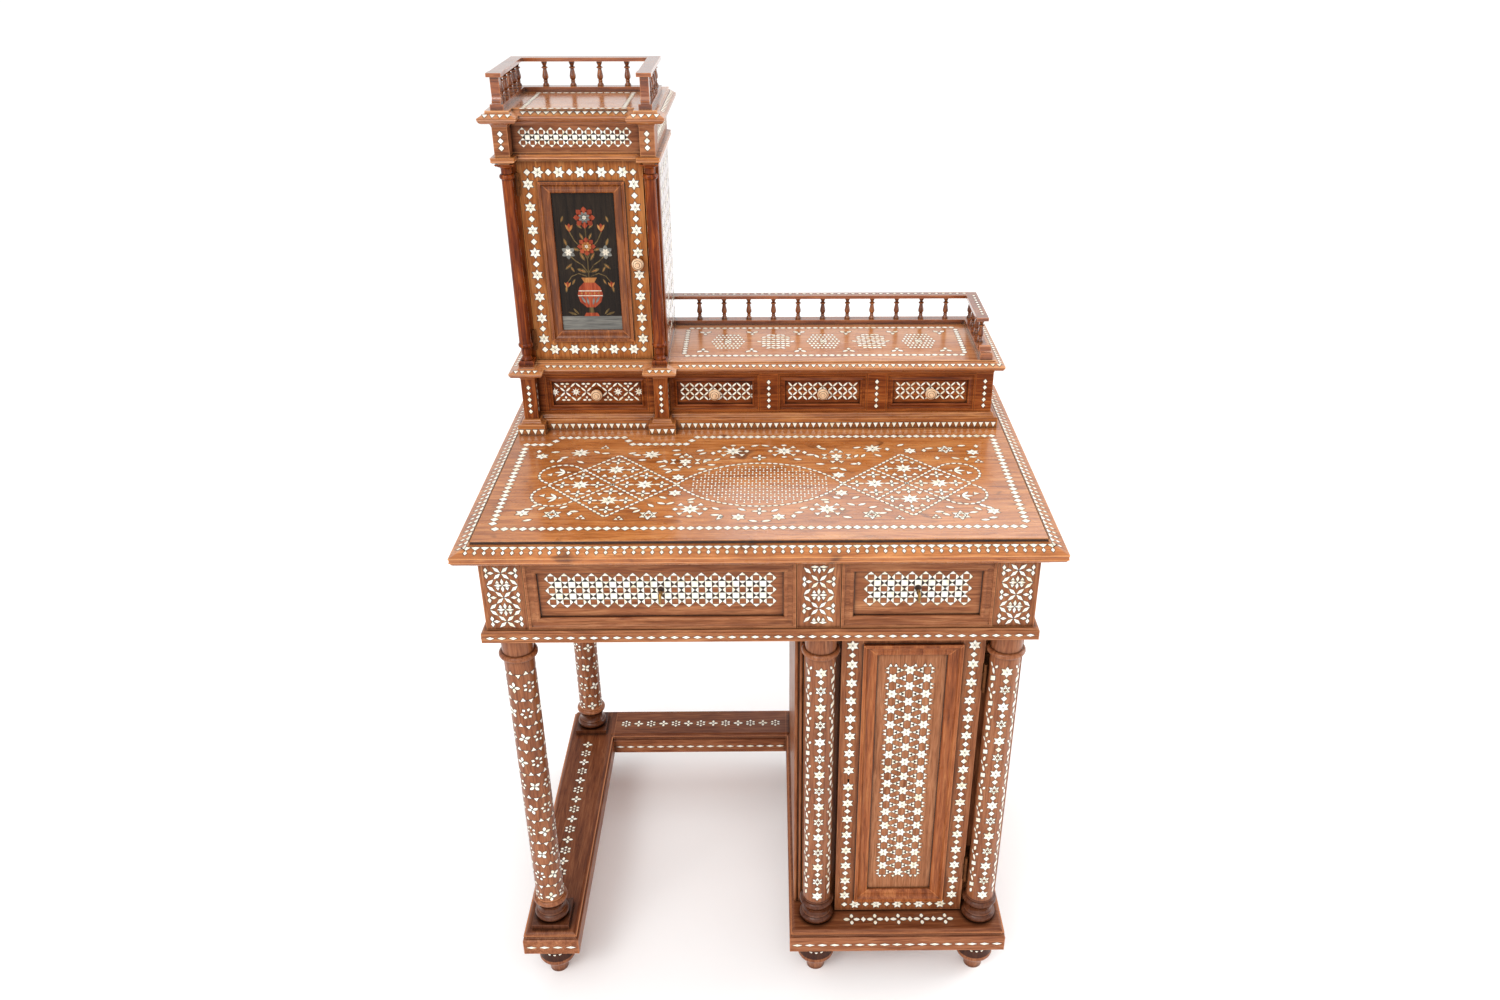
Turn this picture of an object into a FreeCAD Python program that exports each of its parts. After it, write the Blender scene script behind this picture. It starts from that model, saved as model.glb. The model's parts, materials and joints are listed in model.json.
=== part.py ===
"""Bonheur du jour: a small inlaid writing desk with a drawer case and a corner cabinet.

Millimetres, +Z up. The origin is on the floor, under the middle of the writing top.
+X is the sitter's right and -Y is the sitter's side. Every piece is made where it sits
with the drawers in, the doors shut and the keys upright.
"""
import FreeCAD, Part
import os

V = FreeCAD.Vector
UP = V(0, 0, 1)
ORIGIN = V(0, 0, 0)

# ---------------------------------------------------------------- driving sizes
# Writing top and the heights that stack up to it.
TOP_WIDTH = 764.0
TOP_DEPTH = 573.0
TOP_THICKNESS = 33.0
FOOT_HEIGHT = 68.0
PLINTH_HEIGHT = 38.5
COLUMN_SPACE = 525.0
WAIST_THICKNESS = 16.0
FRIEZE_HEIGHT = 99.5

# Edge of the writing top: a nosing, an inlaid bevel and a raised field.
TOP_NOSING = 6.5
TOP_SOFFIT = 20.0
TOP_BEVEL = 22.5
TOP_BEVEL_RISE = 8.0
TOP_EDGE_HEIGHT = 20.5

# Base: two plinths and the rail behind the knees.
PLINTH_SIDE_INSET = 16.6
PLINTH_FRONT_INSET = 16.0
PLINTH_FASCIA = 26.0
PLINTH_MOULDING = 13.0
RUNNER_WIDTH = 83.5
BACK_RAIL_WIDTH = 74.5
PEDESTAL_PLINTH_WIDTH = 327.0
FOOT_BOTTOM_RADIUS = 14.0
FOOT_ANKLE_RADIUS = 17.5
FOOT_ANKLE_HEIGHT = 22.0
FOOT_BOWL_RADIUS = 28.0
FOOT_BOWL_HEIGHT = 8.0
FOOT_NECK_RADIUS = 23.0

# Columns.
COLUMN_RADIUS = 20.5
COLUMN_RING_RADIUS = 26.0
COLUMN_RING_HEIGHT = 9.0
COLUMN_NECK_RADIUS = 21.3
COLUMN_NECK_HEIGHT = 32.0
COLUMN_BASE_RADIUS = 25.5
COLUMN_BASE_TORUS = 13.5
COLUMN_BASE_SCOTIA = 14.0
COLUMN_BASE_COLLAR = 15.5
COLUMN_SCOTIA_RADIUS = 20.0
COLUMN_BLOCK_SIZE = 55.7
COLUMN_BLOCK_HEIGHT = 9.0
COLUMN_INSET = 41.2
COLUMN_FRONT_INSET = 40.0
PEDESTAL_COLUMN_SPACING = 248.5

# Pedestal cupboard.
PEDESTAL_SIDE_INSET = 7.0
PEDESTAL_FACE_OFFSET = 27.0
PEDESTAL_WALL = 15.0
PEDESTAL_BACK_WALL = 10.0
PEDESTAL_REAR_INSET = 8.0
PEDESTAL_STILE_THICKNESS = 20.0
PEDESTAL_BEAD_RADIUS = 2.6
PEDESTAL_BEADS = 2
PEDESTAL_QUIRK = 1.2
DOOR_LAP = 7.0
DOOR_HINGE_GAP = 1.0
DOOR_SWING_GAP = 2.6
DOOR_END_GAP = 2.0
DOOR_THICKNESS = 22.0
DOOR_STILE = 29.0
DOOR_BOTTOM_RAIL = 21.0
DOOR_TOP_RAIL = 30.0
DOOR_MOULDING_WIDTH = 20.0
DOOR_MOULDING_PROUD = 5.0
DOOR_PANEL_RECESS = 5.0
DOOR_PANEL_THICKNESS = 8.0
DOOR_PANEL_LAP = 4.0

# Waist board and frieze.
WAIST_WIDTH = 722.0
WAIST_FRONT_INSET = 20.3
WAIST_REAR_INSET = 4.0
WAIST_CHAMFER = 3.0
FRIEZE_WIDTH = 708.0
FRIEZE_FRONT_INSET = 27.4
FRIEZE_REAR_INSET = 8.0
FRIEZE_WALL = 16.0
FRIEZE_STILE_THICKNESS = 18.0
FRIEZE_OUTER_STILE = 54.0
FRIEZE_CENTRE_STILE = 56.0
LEFT_DRAWER_WIDTH = 346.5
DRAWER_GAP = 1.0
DRAWER_GUIDE_WIDTH = 14.0
DRAWER_GUIDE_HEIGHT = 26.0
DRAWER_FRONT_THICKNESS = 20.0
DRAWER_SIDE_THICKNESS = 9.0
DRAWER_BOTTOM_THICKNESS = 6.0
DRAWER_REAR_CLEARANCE = 12.0
DRAWER_SIDE_DROP = 8.0
DRAWER_MOULDING_WIDTH = 16.0
DRAWER_MOULDING_PROUD = 1.5
DRAWER_PANEL_RECESS = 5.0

# Locks and keys.
LOCK_WIDTH = 42.0
DOOR_LOCK_WIDTH = 24.0
LOCK_HEIGHT = 30.0
LOCK_THICKNESS = 9.0
LOCK_RISE = 4.0
KEY_SHANK_RADIUS = 1.7
KEY_COLLAR_RADIUS = 2.6
KEY_SHANK_OUT = 9.0
KEY_BOW_LENGTH = 14.0
KEY_BOW_HEIGHT = 18.0
KEY_BOW_THICKNESS = 2.0
KEY_BOW_RING = 2.6
KEY_BIT_DROP = 6.0
KEY_BIT_LENGTH = 4.0
KEY_BIT_THICKNESS = 2.0
KEY_BIT_CLEARANCE = 0.3
KEY_COLLAR_LENGTH = 2.0
FIT_CLEARANCE = 0.08
DOOR_KEYHOLE_RISE = 259.0

# Drawer case on the writing top.
CASE_LEFT = 347.0
CASE_RIGHT = 341.5
CASE_FACE_INSET = 378.5
CASE_REAR_INSET = 13.0
CASE_BASE_HEIGHT = 22.0
CASE_BASE_FASCIA = 14.8
CASE_BASE_PROJECTION = 9.5
CASE_FACE_HEIGHT = 61.5
CASE_TOP_THICKNESS = 18.5
CASE_TOP_PROJECTION = 14.0
CASE_TOP_BEVEL = 13.0
CASE_TOP_LIP = 10.0
CASE_TOP_STEP = 2.0
CASE_HOUSING = 1.0
CORNICE_NOSING = 2.5
PILASTER_WIDTH = 20.0
PILASTER_PROJECTION = 21.0
CASE_FACE_THICKNESS = 14.0
CASE_WALL = 12.0
CASE_BACK_WALL = 8.0
CASE_BOTTOM_RAIL = 2.5
CASE_TOP_RAIL = 2.0
CASE_INNER_STILE = 27.5
CASE_END_STILE = 25.5
CASE_TOWER_STILE = 10.0
SMALL_DRAWER_GAP = 0.7
SMALL_FRONT_THICKNESS = 14.0
SMALL_SIDE_THICKNESS = 6.0
SMALL_BOTTOM_THICKNESS = 4.0
SMALL_REAR_CLEARANCE = 8.0
SMALL_MOULDING_WIDTH = 10.0
SMALL_PANEL_RECESS = 4.0
KNOB_RADIUS = 8.0
KNOB_LENGTH = 17.0
KNOB_STEM_RADIUS = 3.5
KNOB_BUTTON_RADIUS = 2.5
KNOB_TENON_RADIUS = 2.5
KNOB_TENON_LENGTH = 8.0

# Corner cabinet, called the tower.
TOWER_WIDTH = 211.5
TOWER_COLUMN_HEIGHT = 281.0
TOWER_COLUMN_SETBACK = 15.0
TOWER_FACE_OFFSET = 32.0
TOWER_ARCHITRAVE_HEIGHT = 12.0
TOWER_ARCHITRAVE_PROJECTION = 6.0
TOWER_ARCHITRAVE_OGEE = 4.5
TOWER_ARCHITRAVE_NOSING = 5.0
TOWER_FRIEZE_HEIGHT = 36.0
TOWER_FRIEZE_SETBACK = 24.0
TOWER_CORNICE_HEIGHT = 21.0
TOWER_CORNICE_PROJECTION = 15.5
TOWER_CORNICE_BEVEL = 10.0
TOWER_CORNICE_LIP = 10.0
TOWER_CORNICE_STEP = 3.0
TOWER_WALL = 11.0
TOWER_BACK_WALL = 8.0
TOWER_STILE_THICKNESS = 16.0
TOWER_COLUMN_RADIUS = 8.8
TOWER_COLUMN_NECK_RADIUS = 7.2
TOWER_COLUMN_TAPER = 1.2
TOWER_COLUMN_RING = 6.5
TOWER_COLUMN_BASE_HEIGHT = 32.0
TOWER_COLUMN_CAPITAL_HEIGHT = 20.5
TOWER_BLOCK_SIZE = 22.0
TOWER_BLOCK_HEIGHT = 7.0
TOWER_BLOCK_BEVEL = 1.8
TOWER_BELL_HEIGHT = 9.0
TOWER_CAP_SIZE = 25.0
TOWER_CAP_HEIGHT = 2.5
TOWER_CAP_BELL_HEIGHT = 5.0
TOWER_CAP_BELL_RADIUS = 11.5
TOWER_FLOOR_THICKNESS = 4.0
TOWER_DOOR_GAP = 0.8
TOWER_DOOR_SWING_GAP = 1.5
TOWER_DOOR_THICKNESS = 15.0
TOWER_DOOR_STILE = 26.0
TOWER_DOOR_TOP_RAIL = 27.0
TOWER_DOOR_BOTTOM_RAIL = 27.0
TOWER_MOULDING_WIDTH = 16.0
TOWER_MOULDING_PROUD = 3.5
TOWER_PANEL_RECESS = 3.5
TOWER_PANEL_THICKNESS = 6.0
TOWER_PANEL_LAP = 3.0
TOWER_KNOB_RISE = 142.5

# Hinges.
HINGE_KNUCKLE_RADIUS = 2.5
HINGE_PIN_RADIUS = 1.2
HINGE_LENGTH = 46.0
HINGE_LEAF = 1.2
HINGE_LEAF_DEPTH = 16.0
HINGE_AXIS_OUT = 2.8
HINGE_KNUCKLE_GAP = 0.3
HINGE_END_DISTANCE = 85.0
TOWER_KNUCKLE_RADIUS = 2.2
TOWER_PIN_RADIUS = 1.0
TOWER_HINGE_LENGTH = 30.0
TOWER_HINGE_END_DISTANCE = 30.0
TOWER_HINGE_AXIS_OUT = 3.2

# Galleries: a low kerb, turned balusters and a flat rail.
KERB_WIDTH = 17.0
KERB_HEIGHT = 7.0
KERB_HOUSING = 1.0
RAIL_THICKNESS = 5.0
RAIL_WIDTH = 17.5
BALUSTER_RADIUS = 4.5
SHELF_BALUSTER_HEIGHT = 34.0
SHELF_BALUSTER_COUNT = 12
SHELF_SIDE_BALUSTERS = 3
SHELF_GALLERY_RIGHT_INSET = 4.5
SHELF_GALLERY_FRONT_INSET = 1.2
SHELF_RAIL_SETBACK = 51.0
SHELF_BLOCK_SIZE = 18.5
SHELF_SCROLL_HEIGHT = 9.0
SHELF_SCROLL_LIP = 3.0
TOWER_BALUSTER_HEIGHT = 33.0
TOWER_BACK_BALUSTERS = 5
TOWER_SIDE_BALUSTERS = 4
TOWER_GALLERY_REAR_INSET = 43.0
TOWER_GALLERY_FRONT_INSET = 8.0
TOWER_POST_SIZE = 11.5
TOWER_POST_BLOCK = 17.5
TOWER_POST_BLOCK_HEIGHT = 7.0
TOWER_POST_FOOT_HEIGHT = 14.0
TOWER_POST_TOE = 4.0
TOWER_POST_SCROLL = 3.0
TOWER_RAIL_CAP = 19.5

# ------------------------------------------------------------- heights and planes
FRONT = -TOP_DEPTH / 2
REAR = TOP_DEPTH / 2
PLINTH_TOP = FOOT_HEIGHT + PLINTH_HEIGHT
WAIST_BOTTOM = PLINTH_TOP + COLUMN_SPACE
WAIST_TOP = WAIST_BOTTOM + WAIST_THICKNESS
TOP_BOTTOM = WAIST_TOP + FRIEZE_HEIGHT
TOP_SURFACE = TOP_BOTTOM + TOP_THICKNESS
CASE_FACE_BOTTOM = TOP_SURFACE + CASE_BASE_HEIGHT
CASE_FACE_TOP = CASE_FACE_BOTTOM + CASE_FACE_HEIGHT
SHELF = CASE_FACE_TOP + CASE_TOP_THICKNESS
ARCHITRAVE_BOTTOM = SHELF + TOWER_COLUMN_HEIGHT
TOWER_FRIEZE_BOTTOM = ARCHITRAVE_BOTTOM + TOWER_ARCHITRAVE_HEIGHT
CORNICE_BOTTOM = TOWER_FRIEZE_BOTTOM + TOWER_FRIEZE_HEIGHT
TOWER_TOP = CORNICE_BOTTOM + TOWER_CORNICE_HEIGHT

PLINTH_FRONT = FRONT + PLINTH_FRONT_INSET
PLINTH_LEFT = -TOP_WIDTH / 2 + PLINTH_SIDE_INSET
PLINTH_RIGHT = TOP_WIDTH / 2 - PLINTH_SIDE_INSET
RUNNER_RIGHT = PLINTH_LEFT + RUNNER_WIDTH
PEDESTAL_LEFT = PLINTH_RIGHT - PEDESTAL_PLINTH_WIDTH
BACK_RAIL_FRONT = REAR - BACK_RAIL_WIDTH

COLUMN_FRONT_Y = PLINTH_FRONT + COLUMN_FRONT_INSET
COLUMN_REAR_Y = REAR - COLUMN_INSET
LEFT_COLUMN_X = PLINTH_LEFT + COLUMN_INSET
PEDESTAL_COLUMN_LEFT_X = PEDESTAL_LEFT + COLUMN_INSET
PEDESTAL_COLUMN_RIGHT_X = PEDESTAL_COLUMN_LEFT_X + PEDESTAL_COLUMN_SPACING

BODY_LEFT = PEDESTAL_LEFT + PEDESTAL_SIDE_INSET
BODY_RIGHT = PLINTH_RIGHT - PEDESTAL_SIDE_INSET
BODY_FACE = COLUMN_FRONT_Y + PEDESTAL_FACE_OFFSET
BODY_REAR = REAR - PEDESTAL_REAR_INSET
DOOR_LEFT = PEDESTAL_COLUMN_LEFT_X + COLUMN_RING_RADIUS + DOOR_SWING_GAP
DOOR_RIGHT = PEDESTAL_COLUMN_RIGHT_X - COLUMN_RING_RADIUS - DOOR_HINGE_GAP
DOOR_BOTTOM = PLINTH_TOP + DOOR_END_GAP
DOOR_TOP = WAIST_BOTTOM - DOOR_END_GAP
DOOR_BACK = BODY_FACE - FIT_CLEARANCE
DOOR_FACE = DOOR_BACK - DOOR_THICKNESS

FRIEZE_FACE = FRONT + FRIEZE_FRONT_INSET
FRIEZE_REAR = REAR - FRIEZE_REAR_INSET
LEFT_BAY = (-FRIEZE_WIDTH / 2 + FRIEZE_OUTER_STILE,
            -FRIEZE_WIDTH / 2 + FRIEZE_OUTER_STILE + LEFT_DRAWER_WIDTH)
RIGHT_BAY = (LEFT_BAY[1] + FRIEZE_CENTRE_STILE, FRIEZE_WIDTH / 2 - FRIEZE_OUTER_STILE)

CASE_FACE = FRONT + CASE_FACE_INSET
CASE_REAR = REAR - CASE_REAR_INSET
PILASTER_FACE = CASE_FACE - PILASTER_PROJECTION
TOWER_RIGHT = -CASE_LEFT + TOWER_WIDTH
TOWER_FACE = PILASTER_FACE + TOWER_FACE_OFFSET
TOWER_AXES = (-CASE_LEFT + PILASTER_WIDTH / 2, TOWER_RIGHT - PILASTER_WIDTH / 2)
TOWER_COLUMN_Y = PILASTER_FACE + TOWER_COLUMN_SETBACK
TOWER_DOOR_LEFT = -CASE_LEFT + PILASTER_WIDTH + TOWER_DOOR_GAP
TOWER_DOOR_RIGHT = TOWER_RIGHT - PILASTER_WIDTH - TOWER_DOOR_SWING_GAP
TOWER_DOOR_BOTTOM = SHELF + TOWER_DOOR_GAP
TOWER_DOOR_TOP = ARCHITRAVE_BOTTOM - TOWER_DOOR_GAP

SHELF_GALLERY_RIGHT = CASE_RIGHT - SHELF_GALLERY_RIGHT_INSET
SHELF_GALLERY_FRONT = CASE_FACE + SHELF_GALLERY_FRONT_INSET
SHELF_GALLERY_X = SHELF_GALLERY_RIGHT - KERB_WIDTH / 2

DOOR_AXIS = (DOOR_RIGHT + HINGE_AXIS_OUT, DOOR_FACE - HINGE_AXIS_OUT)
TOWER_AXIS = (TOWER_DOOR_LEFT - TOWER_DOOR_GAP / 2, TOWER_FACE - TOWER_HINGE_AXIS_OUT)


# ------------------------------------------------------------------ shape helpers
def box(x0, x1, y0, y1, z0, z1):
    """Upright block between two corners."""
    return Part.makeBox(x1 - x0, y1 - y0, z1 - z0, V(x0, y0, z0))


def bar(radius, x, z, y0, y1):
    """Round bar that runs from front to back."""
    return Part.makeCylinder(radius, y1 - y0, V(x, y0, z), V(0, 1, 0))


def stretch(start, end, bulge):
    """Line from start to end, or an arc that leans left of the way by bulge half-chords."""
    if not bulge:
        return Part.makeLine(start, end)
    chord = end - start
    middle = (start + end) / 2 + UP.cross(chord) * (bulge / 2)
    return Part.Arc(start, middle, end).toShape()


def outline(points):
    """Closed wire in the XY plane; a point's third value bulges the stretch that reaches it."""
    edges = []
    for before, point in zip([points[-1]] + points[:-1], points):
        bulge = point[2] if len(point) > 2 else 0
        edges.append(stretch(V(*before[:2], 0), V(*point[:2], 0), bulge))
    return Part.Wire(Part.__sortEdges__(edges))


def turned(points, x, y, z):
    """Solid turned about a vertical axis from a (radius, height) outline."""
    face = Part.Face(outline(points))
    face.rotate(ORIGIN, V(1, 0, 0), 90)
    solid = face.revolve(ORIGIN, UP, 360)
    solid.translate(V(x, y, z))
    return solid


def prism(points, z0, z1):
    """Upright prism over an outline in plan."""
    solid = Part.Face(outline(points)).extrude(V(0, 0, z1 - z0))
    solid.translate(V(0, 0, z0))
    return solid


def corner_vectors(path, closed):
    """Plan vectors that carry each corner of a path outwards by one unit, mitred."""
    points = [V(x, y, 0) for x, y in path]
    count = len(points)
    legs = count if closed else count - 1
    normals = []
    for i in range(legs):
        along = (points[(i + 1) % count] - points[i]).normalize()
        normals.append(V(along.y, -along.x, 0))
    corners = []
    for i in range(count):
        before = normals[i - 1] if closed or i > 0 else normals[i]
        after = normals[i] if i < legs else normals[i - 1]
        corners.append((before + after) / (1 + before.dot(after)))
    return points, normals, corners


def offset_path(path, distance):
    """The path carried outwards by a distance, open ends square."""
    points, _, corners = corner_vectors(path, False)
    moved = [point + corner * distance for point, corner in zip(points, corners)]
    return [(point.x, point.y) for point in moved]


def moulding(path, section, z, closed=False):
    """A (distance outwards, height) section run along a plan path, mitred at its corners."""
    points, normals, corners = corner_vectors(path, closed)
    outwards = [value[0] for value in section]
    heights = [value[1] for value in section]
    near, far = min(outwards), max(outwards)
    spare = far - near
    runs = []
    for i, normal in enumerate(normals):
        j = (i + 1) % len(points)
        start, end = points[i], points[j]
        along = (end - start).normalize()
        face = Part.Face(outline(section))
        origin = start - along * spare
        face.Placement = FreeCAD.Placement(FreeCAD.Matrix(
            normal.x, 0, -along.x, origin.x,
            normal.y, 0, -along.y, origin.y,
            0, 1, 0, z,
            0, 0, 0, 1))
        run = face.extrude(along * ((end - start).Length + 2 * spare))
        sides = [start + corners[i] * near, end + corners[j] * near,
                 end + corners[j] * far, start + corners[i] * far]
        mitre = prism([(p.x, p.y) for p in sides], z + min(heights), z + max(heights))
        runs.append(run.common(mitre))
    return runs


def moulded_board(path, section, z0, z1):
    """Board over an open path's outline, its edges worked to a section."""
    depth = min(value[0] for value in section)
    inner = offset_path(path, depth)
    core = prism(inner, z0, z1)
    return joined([core] + moulding(path, section, z0))


def joined(solids):
    """One clean solid from solids that touch."""
    return solids[0].multiFuse(solids[1:]).removeSplitter()


def upright(shapes, face_y):
    """Stand flat work up: its +Y becomes +Z and its +Z faces the sitter at face_y."""
    for shape in shapes:
        shape.rotate(ORIGIN, V(1, 0, 0), 90)
        shape.translate(V(0, face_y, 0))
    return shapes


def rectangle(x0, x1, y0, y1):
    """Corners of a rectangle, in the order that puts its outside on the right."""
    return [(x0, y0), (x1, y0), (x1, y1), (x0, y1)]


def save(node, *solids):
    """Write one node's solids to its STEP file."""
    shape = solids[0] if len(solids) == 1 else Part.makeCompound(list(solids))
    shape.exportStep("parts/" + node + ".step")


# ------------------------------------------------------------------- moulded edges
def ogee(inner, outer, low, high):
    """Points of an S-curve from (inner, low) out to (outer, high)."""
    middle = ((inner + outer) / 2, (low + high) / 2)
    return [(inner, low), middle + (0.45,), (outer, high, -0.45)]


def plinth_section():
    """Fascia, quirk, torus and a small cove up to the field."""
    roll = 3.5
    quirk = 1.5
    ledge = PLINTH_FASCIA + quirk
    roll_top = ledge + 2 * roll
    return [(-PLINTH_MOULDING, 0), (0, 0), (0, PLINTH_FASCIA), (-quirk, ledge),
            (-quirk, roll_top, 1.0), (-roll, roll_top),
            (-PLINTH_MOULDING, PLINTH_HEIGHT, -0.4)]


def top_section():
    """Cyma under a nosing, the inlaid bevel and the step up to the raised field."""
    lip = TOP_EDGE_HEIGHT - TOP_NOSING
    shoulder = TOP_EDGE_HEIGHT + TOP_BEVEL_RISE
    under = [(-TOP_BEVEL - 2, 0), (-TOP_SOFFIT, 0)] + ogee(-TOP_SOFFIT, -1.5, 2, lip)
    edge = [(0, lip), (0, TOP_EDGE_HEIGHT, 0.25), (-TOP_BEVEL, shoulder)]
    field = [(-TOP_BEVEL, TOP_THICKNESS - 1.5), (-TOP_BEVEL - 1.5, TOP_THICKNESS, 0.4),
             (-TOP_BEVEL - 2, TOP_THICKNESS)]
    return under + edge + field


def case_base_section():
    """Fascia and an ogee back to the face of the drawer case, from the housing up."""
    projection = CASE_BASE_PROJECTION
    quirk = 1.2
    fascia = CASE_HOUSING + CASE_BASE_FASCIA
    top = CASE_HOUSING + CASE_BASE_HEIGHT
    return ([(-1, 0), (projection, 0), (projection, fascia),
             (projection - quirk, fascia + quirk)]
            + ogee(projection - 2 * quirk, 0, fascia + quirk, top) + [(-1, top)])


def cornice_section(projection, bevel, height, lip, step):
    """Ogee under a nosing, a sloping inlaid bevel and a small step to the top."""
    return ([(-1, 0), (0, 0)] + ogee(0.5, projection - 1, 0.8, lip)
            + [(projection, lip), (projection, lip + CORNICE_NOSING, 0.5),
               (projection - bevel, height - step), (projection - bevel, height),
               (-1, height)])


def architrave_section():
    """Small ogee and fillet under the tower's frieze."""
    projection = TOWER_ARCHITRAVE_PROJECTION
    low = TOWER_ARCHITRAVE_OGEE
    high = low + TOWER_ARCHITRAVE_NOSING
    return ([(-6, 0), (-3, 0), (-3, 1)] + ogee(-2, projection - 1, 1, low)
            + [(projection, low), (projection, high, 0.3), (0, high + 1),
               (0, TOWER_ARCHITRAVE_HEIGHT), (-6, TOWER_ARCHITRAVE_HEIGHT)])


def frame_section(width, proud, recess):
    """Picture-frame moulding: outer fillet, cyma, bead and sight edge, as it faces out."""
    fillet = width * 0.22
    bead = width * 0.3
    return [(0, -recess), (0, proud), (-fillet, proud),
            (-fillet - 0.4, proud - 1.0),
            (-width + bead, proud * 0.25 - 0.5, 0.35),
            (-width + bead * 0.6, 0.2),
            (-width, -recess + 1.0, -0.45), (-width, -recess)]


# ---------------------------------------------------------------------- the base
def base_path():
    """Outline of the two plinths and the rail between them, open at the rear."""
    return [(PLINTH_LEFT, REAR), (PLINTH_LEFT, PLINTH_FRONT),
            (RUNNER_RIGHT, PLINTH_FRONT), (RUNNER_RIGHT, BACK_RAIL_FRONT),
            (PEDESTAL_LEFT, BACK_RAIL_FRONT), (PEDESTAL_LEFT, PLINTH_FRONT),
            (PLINTH_RIGHT, PLINTH_FRONT), (PLINTH_RIGHT, REAR)]


def make_base():
    """One moulded outline, cut into runner, rail and pedestal plinth at their joints."""
    whole = moulded_board(base_path(), plinth_section(), FOOT_HEIGHT, PLINTH_TOP)
    cuts = {"plinth_left_runner": (PLINTH_LEFT, RUNNER_RIGHT),
            "plinth_back_rail": (RUNNER_RIGHT, PEDESTAL_LEFT),
            "plinth_pedestal": (PEDESTAL_LEFT, PLINTH_RIGHT)}
    for node, (x0, x1) in cuts.items():
        piece = whole.common(box(x0, x1, FRONT, REAR, FOOT_HEIGHT, PLINTH_TOP))
        save(node, piece.Solids[0])


def column_places():
    """Plan positions of the four columns, by name."""
    return {"column_front_left": (LEFT_COLUMN_X, COLUMN_FRONT_Y),
            "column_rear_left": (LEFT_COLUMN_X, COLUMN_REAR_Y),
            "column_pedestal_left": (PEDESTAL_COLUMN_LEFT_X, COLUMN_FRONT_Y),
            "column_pedestal_right": (PEDESTAL_COLUMN_RIGHT_X, COLUMN_FRONT_Y)}


def foot_places():
    """One foot under each column, and two under the pedestal's rear corners."""
    places = list(column_places().values())
    return places + [(PEDESTAL_COLUMN_LEFT_X, COLUMN_REAR_Y),
                     (PEDESTAL_COLUMN_RIGHT_X, COLUMN_REAR_Y)]


def make_feet():
    """Turned bun feet: a bowl over a narrower ankle."""
    rim = FOOT_ANKLE_HEIGHT + FOOT_BOWL_HEIGHT
    section = [(0, 0), (FOOT_BOTTOM_RADIUS, 0), (FOOT_ANKLE_RADIUS, FOOT_ANKLE_HEIGHT - 3, 0.1),
               (FOOT_ANKLE_RADIUS - 2, FOOT_ANKLE_HEIGHT),
               (FOOT_BOWL_RADIUS, rim, -0.35), (FOOT_BOWL_RADIUS, rim + 3),
               (FOOT_NECK_RADIUS, FOOT_HEIGHT, 0.12), (0, FOOT_HEIGHT)]
    save("feet", *[turned(section, x, y, 0) for x, y in foot_places()])


def column_section(height):
    """Base of torus, scotia and collar, plain shaft, ring and neck, from the foot up."""
    torus = COLUMN_BASE_TORUS
    scotia = torus + COLUMN_BASE_SCOTIA
    shaft = scotia + COLUMN_BASE_COLLAR
    fillet = 2.0
    ring_low = height - COLUMN_NECK_HEIGHT - COLUMN_RING_HEIGHT
    ring_high = ring_low + COLUMN_RING_HEIGHT
    base = COLUMN_BASE_RADIUS - torus / 2
    collar = COLUMN_BASE_RADIUS - (COLUMN_BASE_COLLAR - 2 * fillet) / 2
    ring = COLUMN_RING_RADIUS - COLUMN_RING_HEIGHT / 2
    return [(0, 0), (base, 0), (base, torus, -1.0), (COLUMN_SCOTIA_RADIUS + 2, torus),
            (COLUMN_SCOTIA_RADIUS + 2, scotia, 0.4), (collar, scotia),
            (collar, scotia + fillet), (collar, shaft - fillet, -1.0),
            (COLUMN_RADIUS + 1, shaft - fillet), (COLUMN_RADIUS, shaft),
            (COLUMN_RADIUS, ring_low), (ring, ring_low),
            (ring, ring_high, -1.0), (COLUMN_NECK_RADIUS, ring_high),
            (COLUMN_NECK_RADIUS, height), (0, height)]


def make_columns():
    """Four columns; the two over the left runner stand on square blocks of one piece."""
    half = COLUMN_BLOCK_SIZE / 2
    for node, (x, y) in column_places().items():
        on_block = COLUMN_BLOCK_HEIGHT if x < RUNNER_RIGHT else 0
        foot = PLINTH_TOP + on_block
        column = turned(column_section(COLUMN_SPACE - on_block), x, y, foot)
        if on_block:
            block = box(x - half, x + half, y - half, y + half, PLINTH_TOP, foot)
            column = column.fuse(block).removeSplitter()
        save(node, column)


# ----------------------------------------------------------------- pedestal cupboard
def beaded_stile(outer, inner, face, inside):
    """Front stile in plan order, with a run of quirked beads down its outer corner."""
    towards = 1 if inner > outer else -1
    bead = towards * 2 * PEDESTAL_BEAD_RADIUS
    crown = face + PEDESTAL_BEAD_RADIUS
    points = [(outer, inside), (outer, crown)]
    x = outer
    for _ in range(PEDESTAL_BEADS):
        points += [(x + bead, crown, -towards), (x + bead + towards * PEDESTAL_QUIRK, crown)]
        x += bead + towards * PEDESTAL_QUIRK
    return points + [(x, face), (inner, face), (inner, inside)]


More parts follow.
